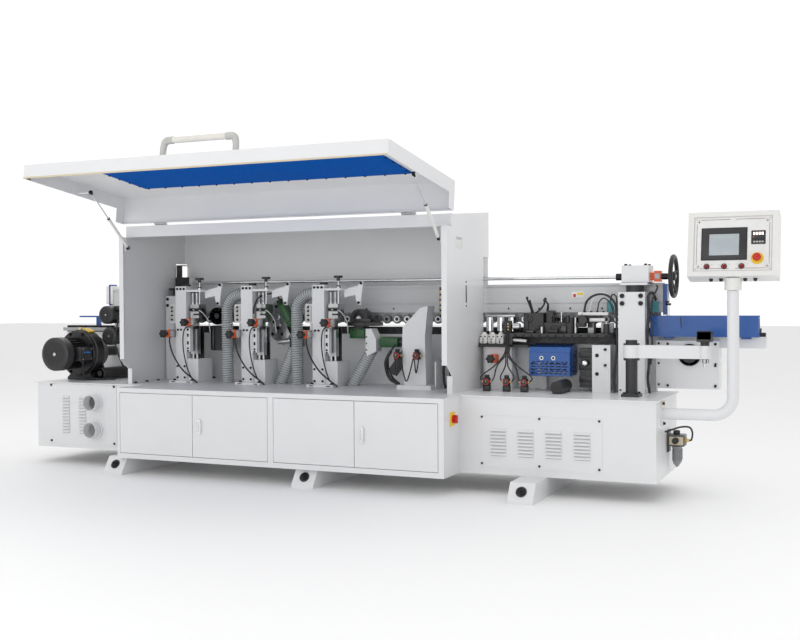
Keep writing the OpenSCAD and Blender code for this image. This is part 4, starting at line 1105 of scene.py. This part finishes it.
def make_trim_heads():
    """Guards, chip hoods and the valve panel among the trimming units."""
    made = Solid()
    made.lathe((16, 440, 952), (0, 1, 0), [(0, 40), (2, 54), (8, 60), (76, 60), (80, 56)], BLACK, 48)
    made.lathe((16, 438, 952), (0, 1, 0), [(0, 16), (3, 16)], STEEL_X, 32)
    for i in range(3):
        a = radians(90 + 120 * i)
        made.cap_screw((16 + 46 * cos(a), 441, 952 + 46 * sin(a)), (0, -1, 0), 5, 4)
    for x, z in ((-640, 1000), (-600, 1030), (-620, 930), (-590, 890), (-560, 850), (-630, 850)):
        made.hex_bolt((x, 482, z), (0, -1, 0), 8, 8)
    made.block((-622, 474, 900), (-570, 483, 916), STEEL_X, 2)
    made.rod((-600, 470, 960), (-600, 484, 960), 22, STEEL_X, 28, 2)
    made.rod((-560, 440, 800), (-450, 440, 812), 17, STEEL_X, 24, 3)
    made.block((-470, 420, 770), (-400, 500, 830), BLACK, 5)
    made.torus((126, 431, 782), (0.54, 0.1, 0.84), 38, 4, DARK_STEEL, 40, 8)
    for z in (760, 800, 840):
        made.cap_screw((96, 386, z), (0, -1, 0), 4.5, 4)
    for x0, z0 in ((-60, 905), (-20, 930)):
        made.block((x0, 436, z0 + 2), (x0 + 120, 442, z0 + 22), SATIN_BLACK, 2)
    for i in range(7):
        made.rod((580 + i * 9, 436, 990 + (i % 2) * 50), (580 + i * 9, 436, 1030 + (i % 2) * 50), 3.5,
                 RUBBER, 10, 1)
    for i in range(5):
        made.block((564, 430, 975 + i * 32), (634, 441, 997 + i * 32), DIE_CAST, 2)
        made.rod((572, 428, 986 + i * 32), (572, 440, 986 + i * 32), 5, BRASS, 14, 1)
    made.block((-1076, 430, 742), (-1050, 441, 900), DARK_STEEL, 3)
    made.lathe((-1022, 425, 968), (0, -1, 0), [(-3, 57), (0, 54), (0, 20), (3, 18)], BLACK, 44)
    for i in range(10):
        a = 2 * pi * i / 10
        made.block((-1022 + 38 * cos(a) - 3, 423, 968 + 38 * sin(a) - 3),
                   (-1022 + 38 * cos(a) + 3, 425.6, 968 + 38 * sin(a) + 3), SATIN_BLACK, 1)
    made.piece("trimming_details", "frame")


def regulator(made, x, y, z):
    """A small air regulator: body, ribbed knob on top, gauge with a red ring in front, fittings."""
    made.block((x - 18, y - 18, z - 22), (x + 18, y + 18, z + 22), BLACK_PLASTIC, 3)
    made.lathe((x, y, z + 21), (0, 0, 1), [(0, 11), (3, 14, lobes(18, 0.08)), (16, 14, lobes(18, 0.08)),
                                           (19, 11)],
               BLACK_PLASTIC, 72)
    made.lathe((x, y - 17, z), (0, -1, 0), [(0, 12), (2, 18), (8, 18), (8, 15)], RED, 36)
    made.lathe((x, y - 24, z), (0, -1, 0), [(0, 14.5), (1.4, 14.5), (1.6, 1)], SATIN_BLACK, 32)
    made.block((x - 1, y - 26.2, z - 1), (x + 1, y - 25.4, z + 10), PAPER, 0.3)
    for side in (-1, 1):
        made.lathe((x + side * 17, y, z), (side, 0, 0), [(0, 8, hexagon), (5, 8, hexagon), (5, 6), (13, 6)],
                   BRASS, 18, False)


def make_air_parts():
    """Regulators on the end cover and in front of the gluing unit, and the filter unit on the right end."""
    made = Solid()
    for x in (362, 488):
        regulator(made, x, 255, 735)
        made.block((x - 8, 270, 727), (x + 8, 286, 743), DARK_STEEL, 1)
    for x in REGULATORS:
        regulator(made, x, 300, 590)
        made.block((x - 20, 282, 535), (x + 20, 318, 568), SATIN_BLACK, 2)
    made.block((END_FACE, 318, 228), (END_FACE + 8, 402, 348), DARK_STEEL, 2)
    made.block((END_FACE + 8, 312, 262), (2030, 402, 326), GREY_CAST, 6)
    made.block((END_FACE + 14, 308, 272), (2024, 316, 316), BEIGE, 2)
    for y in (334, 380):
        made.lathe((1986, y, 262), (0, 0, -1), [(0, 25), (8, 25), (10, 22), (84, 22), (98, 16), (104, 8),
                                                (112, 7)],
                   BOWL, 32)
        for i in range(10):
            a = 2 * pi * i / 10
            made.rod((1986 + 22.4 * cos(a), y + 22.4 * sin(a), 186),
                     (1986 + 22.4 * cos(a), y + 22.4 * sin(a), 246),
                     1.6, GREY_CAST, 6)
    made.lathe((1986, 334, 325), (0, 0, 1), [(0, 15), (4, 18, lobes(16, 0.1)), (22, 18, lobes(16, 0.1)),
                                             (25, 14)],
               BLACK_PLASTIC, 64)
    made.lathe((1986, 312, 296), (0, -1, 0), [(0, 14), (6, 17), (34, 17), (38, 13)], BLACK_PLASTIC, 36)
    made.lathe((2030, 357, 294), (1, 0, 0), [(0, 13, hexagon), (8, 13, hexagon), (8, 8), (20, 8)], BRASS,
               18, False)
    made.piece("air_regulators", "frame", ["air_preparation"])


def make_valve_block():
    """Three small white cylinders with rounded shoulders and black screws."""
    made = Solid()
    for i in range(3):
        x = 806 + i * 52
        made.block((x + 1, 462, 802), (x + 48, 528, 858), WHITE_BOX, 8)
        made.lathe((x + 24.5, 486, 856), (0, 0, 1), [(0, 17), (6, 16), (12, 11), (16, 9)], WHITE_BOX, 28)
        made.cap_screw((x + 12, 462, 846), (0, -1, 0), 4.5, 4)
        made.cap_screw((x + 37, 462, 846), (0, -1, 0), 4.5, 4)
        made.cap_screw((x + 24, 462, 814), (0, -1, 0), 4.5, 4)
        made.lathe((x + 24.5, 461, 830), (0, -1, 0), [(0, 7), (6, 6)], DIE_CAST, 20)
    made.block((806, 456, 799), (958, 530, 803), SATIN_BLACK, 1)
    made.piece("white_air_cylinders", "frame", ["valve_block"])


def make_glue_details():
    """Levers, rods, blocks, screws and the small blue cylinder on the gluing table."""
    made = Solid()
    made.block((1082, 462, 870), (1110, 472, 978), BLACK, 3)
    for x, y, z, r in ((1120, 470, 950, 16), (1164, 470, 900, 12), (1262, 480, 896, 18),
                       (1300, 480, 904, 10),
                       (1500, 500, 950, 14), (1420, 500, 955, 9)):
        made.lathe((x, y, z), (0, -1, 0), [(-2, r), (0, r + 2), (8, r + 2), (10, r - 2), (10, r * 0.4),
                                           (16, r * 0.3)],
                   BLACK, 28)
    for path in (((1130, 478, 984), (1122, 470, 1020), (1106, 462, 1066)),
                 ((1150, 476, 986), (1176, 466, 1000), (1204, 460, 1030), (1212, 458, 1052)),
                 ((1214, 520, 998), (1218, 512, 1030), (1204, 505, 1060))):
        made.pipe(smooth_path(path, 6), 5, BLACK_OXIDE, 12)
        made.rod(path[-1], Vector(path[-1]) + Vector((-2, -1, 16)), 8, BLACK_PLASTIC, 16, 3)
    for x, y, z0, z1, r, metal in ((1196, 452, 868, 906, 9, STEEL_Z), (1346, 470, 930, 976, 12, BLACK),
                                   (1392, 470, 868, 960, 8, STEEL_Z),
                                   (1262, 470, 930, 966, 10, BLACK_OXIDE),
                                   (1300, 505, 930, 990, 7, STEEL_Z),
                                   (1506, 470, 868, 925, 6, BLACK_OXIDE)):
        made.rod((x, y, z0), (x, y, z1), r, metal, 20, 2)
    for low, high, metal in (((1230, 452, 868), (1290, 480, 890), BLACK),
                             ((1396, 452, 905), (1452, 500, 930), BLACK),
                             ((1300, 470, 868), (1336, 500, 912), DARK_STEEL),
                             ((1466, 462, 868), (1500, 500, 902), DIE_CAST),
                             ((1100, 440, 868), (1150, 468, 884), DARK_STEEL),
                             ((1540, 470, 870), (1610, 500, 930), DIE_CAST),
                             ((1470, 478, 936), (1560, 500, 956), PAPER),
                             ((1430, 474, 972), (1580, 498, 990), WHITE_BOX)):
        made.block(low, high, metal, 3)
    for x in (1444, 1480, 1516, 1552):
        made.lathe((x, 486, 989), (0, 0, 1), [(0, 7), (6, 7), (8, 5)], BLACK_OXIDE, 20)
    made.rod((1428, 486, 981), (1404, 486, 981), 11, WHITE_BOX, 24, 3)
    made.rod((1578, 440, 866), (1578, 440, 918), 15, SKY_BLUE, 28, 3)
    made.rod((1578, 440, 918), (1578, 440, 938), 6, STEEL_Z, 16, 1)
    made.block((1562, 424, 862), (1594, 456, 870), BLACK, 2)
    for i in range(12):
        made.cap_screw((1052 + i * 48, 405, 856), (0, -1, 0), 5.5, 5)
    made.block((1036, 404, 846), (1600, 407, 850), BLACK_OXIDE, 0.5)
    for z in (590, 660, 730):
        made.block((1418, 446, z), (1496, 452, z + 34), BLACK, 3)
    made.rod((1457, 452, 700), (1457, 420, 700), 20, BLACK, 32, 3)
    made.lathe((1457, 420, 700), (0, -1, 0), [(0, 14), (4, 14), (6, 10)], CHROME, 28)
    made.rod((1345, 228, 571), (1345, 222, 571), 33, BLACK_PLASTIC, 36, 2)
    made.rod((1345, 230, 571), (1345, 428, 571), 36.5, SATIN_BLACK, 40, 3)
    made.block((986, 436, 876), (1012, 446, 940), SATIN_BLACK, 2)
    for z in (890, 906, 922):
        made.lathe((998, 436, z), (0, -1, 0), [(0, 5), (8, 4)], BRASS, 14)
    made.rod((1016, 470, 905), (1060, 470, 905), 21, STEEL_X, 32, 3)
    made.rod((1024, 430, 830), (1110, 428, 824), 9, WHITE_BOX, 20, 3)
    made.block((1020, 424, 812), (1046, 452, 842), SATIN_BLACK, 3)
    for x in (842, 912, 982):
        made.rod((x, 562, 876), (x, 562, 960), 25.3, CHROME, 40, 2)
        made.lathe((x, 562, 960), (0, 0, 1), [(0, 12), (6, 12), (6, 8, hexagon), (13, 8, hexagon)],
                   BLACK_OXIDE, 18)
    made.block((820, 540, 962), (1004, 548, 975), STEEL_X, 2)
    made.piece("gluing_mechanics", "frame")


def make_glue_guard():
    """Dark blue strips of painted shade where the folded blue guard has rows of round-ended slots, in the
    front and the right side.
    """
    made = Solid()
    for row in range(9):
        shift = 10 if row % 2 else 0
        z = 636 + row * 13.5
        if 712 < z < 745:
            continue
        for i in range(8):
            x = 1148 + i * 28 + shift
            # dark blue strip painted as the shade seen through one slot
            made.block((x, 379.0, z), (x + 18, 380.6, z + 4.5), SLOT_SHADE_BLUE, 0.7)
        for i in range(5):
            y = 392 + i * 28 + shift
            made.block((1379.6, y, z), (1381.0, y + 18, z + 4.5), SLOT_SHADE_BLUE, 0.7)
    for x in (1214, 1284):
        made.lathe((x, 380, 728), (0, -1, 0), [(-1, 12), (0.6, 12), (0.6, 7), (-1, 7)], STEEL_X, 28)
    made.block((1139, 379, 759), (1381, 382, 762), BLUE, 0.8)
    made.piece("guard_slot_shade_and_trim", "frame")


def make_shelf_knob():
    """The star grip of the counter under the press roller shelf."""
    low, high = box("counter_knob_7")
    middle = (low + high) / 2
    made = Solid()
    star_grip(made, (middle.x, low.y, middle.z))
    made.lathe((middle.x, low.y + 29, middle.z), (0, 1, 0), [(0, 12), (18, 10.5), (20, 6), (56, 6)],
               BLACK_PLASTIC, 28)
    made.piece("star_knob_7", "knob_7", ["counter_knob_7"])


def make_column_details():
    """Bolts, plates and couplings at the lifting columns, the tape carrier and the fence screw."""
    made = Solid()
    for x in (1672, 1784):
        for y in (520, 632):
            made.hex_bolt((x, y, 1255), (0, 0, 1), 9, 10)
    made.lathe((1606, *SHAFT), (1, 0, 0), [(0, 14), (4, 20), (40, 20), (46, 16)], BLACK_OXIDE, 32)
    made.lathe((1864, *SHAFT), (1, 0, 0), [(0, 14), (4, 18), (30, 18), (34, 12)], BLACK_OXIDE, 32)
    made.block((1830, 543, 1178), (1858, 546, 1208), SCREEN_GLASS, 1.5)
    made.block((1650, 498, 1150), (1806, 652, 1160), SATIN_BLACK, 2)
    made.piece("gearbox_fittings", "beam")

    post = Solid()
    for dx in (-34, 34):
        for dy in (-34, 34):
            post.hex_bolt((POST[0] + dx, POST[1] + dy, 551), (0, 0, 1), 8, 9)
    post.lathe((*POST, 551), (0, 0, 1), [(0, 38), (6, 34), (6, 32)], SATIN_BLACK, 40)
    post.rod((1905, 550, 964), (1905, 550, 1052), 7.5, CHROME, 20, 2)
    post.lathe((1905, 550, 1028), (0, 0, 1), [(0, 15, hexagon), (12, 15, hexagon)], BLACK_OXIDE, 18, False)
    post.block((1890, 540, 1042), (1911, 562, 1053), BLACK_OXIDE, 2)
    for x in (1662, 1786):
        for y in (430, 560):
            post.hex_bolt((x, y if x > 1700 else 424, 549), (0, 0, 1), 7, 8)
    for z in (640, 745):
        post.hex_bolt((1528, 420, z), (0, -1, 0), 8, 8)
    post.piece("post_fittings", "frame")

    hub = Solid()
    hub.rod((TAPE_X, POST[1], 700), (TAPE_X, POST[1], 722), 9, CHROME, 24, 2)
    hub.lathe((TAPE_X, POST[1], 722), (0, 0, 1), [(0, 18, hexagon), (20, 18, hexagon)], CHROME, 24, False)
    hub.block((TAPE_X - 38, POST[1] - 38, 846), (TAPE_X + 38, POST[1] + 38, 892), SATIN_BLACK, 3)
    hub.block((TAPE_X - 30, POST[1] - 30, 834), (TAPE_X + 30, POST[1] + 30, 848), SATIN_BLACK, 3)
    hub.piece("spindle_fittings", "tape_hub")


def make_line_details():
    """Conveyor end trim, motor cover bolts, panel screws, beam end box and label blocks."""
    made = Solid()
    made.lathe((2021, 546, 749), (0, -1, 0), [(-14, 62), (-4, 62), (0, 58), (0, 46), (3, 44), (3, 20)],
               BLACK, 56)
    for i in range(6):
        a = radians(30 + 60 * i)
        made.cap_screw((2021 + 53 * cos(a), 547, 749 + 53 * sin(a)), (0, -1, 0), 4, 4)
    for x in (1850, 2162):
        for z in (580, 700, 812):
            made.cap_screw((x, 560, z), (0, -1, 0), 6, 5)
    made.block((-2430, 560, 868), (-1990, 600, 872), DIE_CAST, 1)
    made.block((-2430, 556, 860), (-1990, 561, 884), DIE_CAST, 1)
    for i in range(9):
        made.block((-2420 + i * 48, 600, 872), (-2398 + i * 48, 602, 897), DARK_STEEL, 1)
    made.piece("feed_line_trim", "frame")

    beam = Solid()
    beam.block((-2060, 580, 1050), (-2000, 660, 1180), WHITE_BOX, 5)
    beam.lathe((-2060, 612, 1140), (-1, 0, 0), [(0, 14), (4, 14), (4, 11), (12, 10)], RED, 28)
    for i in range(20):
        beam.cap_screw((-1900 + i * 190, 590, 1012), (0, -1, 0), 5, 4)
    for x in (540, 1340):
        beam.block((x, 588.6, 1072), (x + 70, 590.2, 1110), PAPER, 0.4)
        beam.block((x + 30, 588.2, 1090), (x + 66, 589, 1104), YELLOW, 0.2)
        beam.block((x + 8, 588.2, 1078), (x + 24, 589, 1096), RED, 0.2)
    beam.piece("beam_trim", "beam")


def make_hood_details():
    """Bolts where the hood stands on the table, a cable slot plate and the lid's hinge pins."""
    made = Solid()
    for x in (-1420, 786):
        for y in (80, 200, 320):
            made.hex_bolt((x, y, 539), (0, 0, 1), 9, 9)
    made.block((800, 250, 1050), (802.5, 262, 1150), SATIN_BLACK, 1)
    for z in (1030, 1170):
        made.cap_screw((800, 256, z), (1, 0, 0), 5, 3)
    for x in HINGES:
        made.rod((x - 43, HINGE_Y, HINGE_Z), (x + 43, HINGE_Y, HINGE_Z), 6.2, STEEL_X, 20, 1)
    made.piece("hood_fittings", "frame")


def make_cables():
    """Cables and air tubes, each on a smooth curve."""
    made = Solid()
    table = box("base_frame")[1].z
    for x in UNITS:
        cable(made, [(x - 30, 262, 836), (x - 26, 252, 800), (x - 6, 248, 740), (x + 30, 244, 680),
                     (x + 80, 244, 620), (x + 140, 244, 575), (x + 186, 242, table + 10),
                     (x + 190, 242, table - 2)], 5.0)
        cable(made, [(x + 112, 254, 902), (x + 92, 250, 880), (x + 84, 246, 820), (x + 90, 244, 740),
                     (x + 104, 250, 660), (x + 118, 262, 600), (x + 122, 280, 570)], 4.0)
        cable(made, [(x + 128, 300, 1010), (x + 176, 320, 1000), (x + 190, 380, 940),
                     (x + 180, 420, 860)], 3.5,
              PALE_TUBE)
    cable(made, [(-640, 262, 985), (-634, 262, 1030), (-620, 290, 1085), (-600, 350, 1108),
                 (-560, 390, 1112),
                 (-535, 410, 1075), (-530, 415, 1040)], 5.5)
    cable(made, [(300, 300, 760), (272, 288, 700), (280, 280, 640), (306, 276, 592), (360, 268, 566)], 10.0)
    cable(made, [(316, 330, 800), (284, 300, 730), (288, 290, 660), (320, 280, 600), (372, 262, 566)], 6.0)
    for a, b, sag in ((345, 376, 120), (379, 471, 150), (471, 505, 100)):
        cable(made, [(a, 250, 735), ((a * 2 + b) / 3, 244, 735 - sag * 0.8), ((a + b) / 2, 242, 735 - sag),
                     ((a + b * 2) / 3, 244, 735 - sag * 0.8), (b, 250, 735)], 4.0)
    cable(made, [(640, 392, 1120), (628, 384, 1040), (640, 382, 930), (628, 380, 800), (612, 376, 660),
                 (616, 370, 580), (630, 366, table + 2)], 8.0)
    cable(made, [(662, 400, 1060), (652, 390, 900), (640, 384, 760), (650, 376, 620),
                 (672, 370, table + 2)], 6.0)
    cable(made, [(690, 440, 900), (720, 420, 880), (736, 400, 780), (716, 390, 640),
                 (700, 384, table + 2)], 5.0)
    cable(made, [(1440, 480, 990), (1456, 474, 1050), (1500, 470, 1086), (1560, 466, 1092),
                 (1610, 456, 1060),
                 (1632, 440, 1000), (1640, 430, 800), (1626, 424, 640), (1630, 420, table + 2)], 6.5)
    cable(made, [(1470, 486, 998), (1490, 476, 1060), (1540, 470, 1100), (1600, 462, 1070),
                 (1630, 446, 990),
                 (1634, 436, 900)], 4.0, PALE_TUBE)
    cable(made, [(1516, 486, 998), (1530, 474, 1050), (1560, 468, 1070), (1596, 462, 1040),
                 (1616, 452, 980)], 3.5)
    cable(made, [(1838, 540, 1060), (1826, 500, 1098), (1812, 450, 1080), (1816, 434, 980),
                 (1810, 428, 860),
                 (1820, 424, 720), (1814, 420, 620), (1826, 416, table + 4)], 8.0)
    cable(made, [(1840, 560, 1140), (1852, 500, 1122), (1836, 450, 1060), (1832, 436, 940),
                 (1838, 428, 800),
                 (1830, 424, 700)], 5.0)
    cable(made, [(1577, 546, 1058), (1590, 536, 1090), (1620, 500, 1080), (1634, 460, 1030),
                 (1638, 440, 940)], 4.0)
    for x, top in zip(REGULATORS, (985, 998, 1010)):
        for side in (-1, 1):
            cable(made, [(x + side * 28, 300, 590), (x + side * 40, 310, 620),
                         ((x + top) / 2 + side * 8, 350, 680),
                         (top + side * 5, 400, 740), (top, 430, 800), (top, 434, 900)], 4.0)
    cable(made, [(1998, 430, 906), (1990, 434, 960)], 3.0)
    cable(made, [(2048, 357, 294), (2062, 350, 300), (2070, 330, 340), (2060, 296, 372), (2020, 262, 376),
                 (1975, 240, 362), (1940, 230, 350)], 5.0)
    cable(made, [(-1895, 130, 654), (-1880, 120, 600), (-1890, 150, 560), (-1850, 220, 546),
                 (-1760, 300, 541)], 6.0)
    cable(made, [(-1770, 360, 1030), (-1740, 330, 1000), (-1750, 310, 900), (-1760, 300, 800),
                 (-1730, 300, 700),
                 (-1700, 330, 600), (-1690, 380, table + 2)], 6.0)
    cable(made, [(-1745, 360, 880), (-1720, 340, 860), (-1730, 320, 760), (-1700, 330, 660),
                 (-1680, 380, 590)], 5.0)
    made.piece("cables_and_tubes", "frame", ["cables"])


dress_frame()
for build in (make_screws, make_hoses, make_counters, make_knobs, make_shelf_knob, make_rollers,
              make_cables,
              make_louvres, make_labels, make_control_head, make_handwheel, make_lid_handle, make_lid_trim,
              make_gas_springs, make_feed_motor, make_buffing_motors, make_trim_motors, make_unit_fittings,
              make_trim_heads, make_air_parts, make_valve_block, make_glue_details, make_glue_guard,
              make_column_details, make_line_details, make_hood_details):
    build()
make_stage()
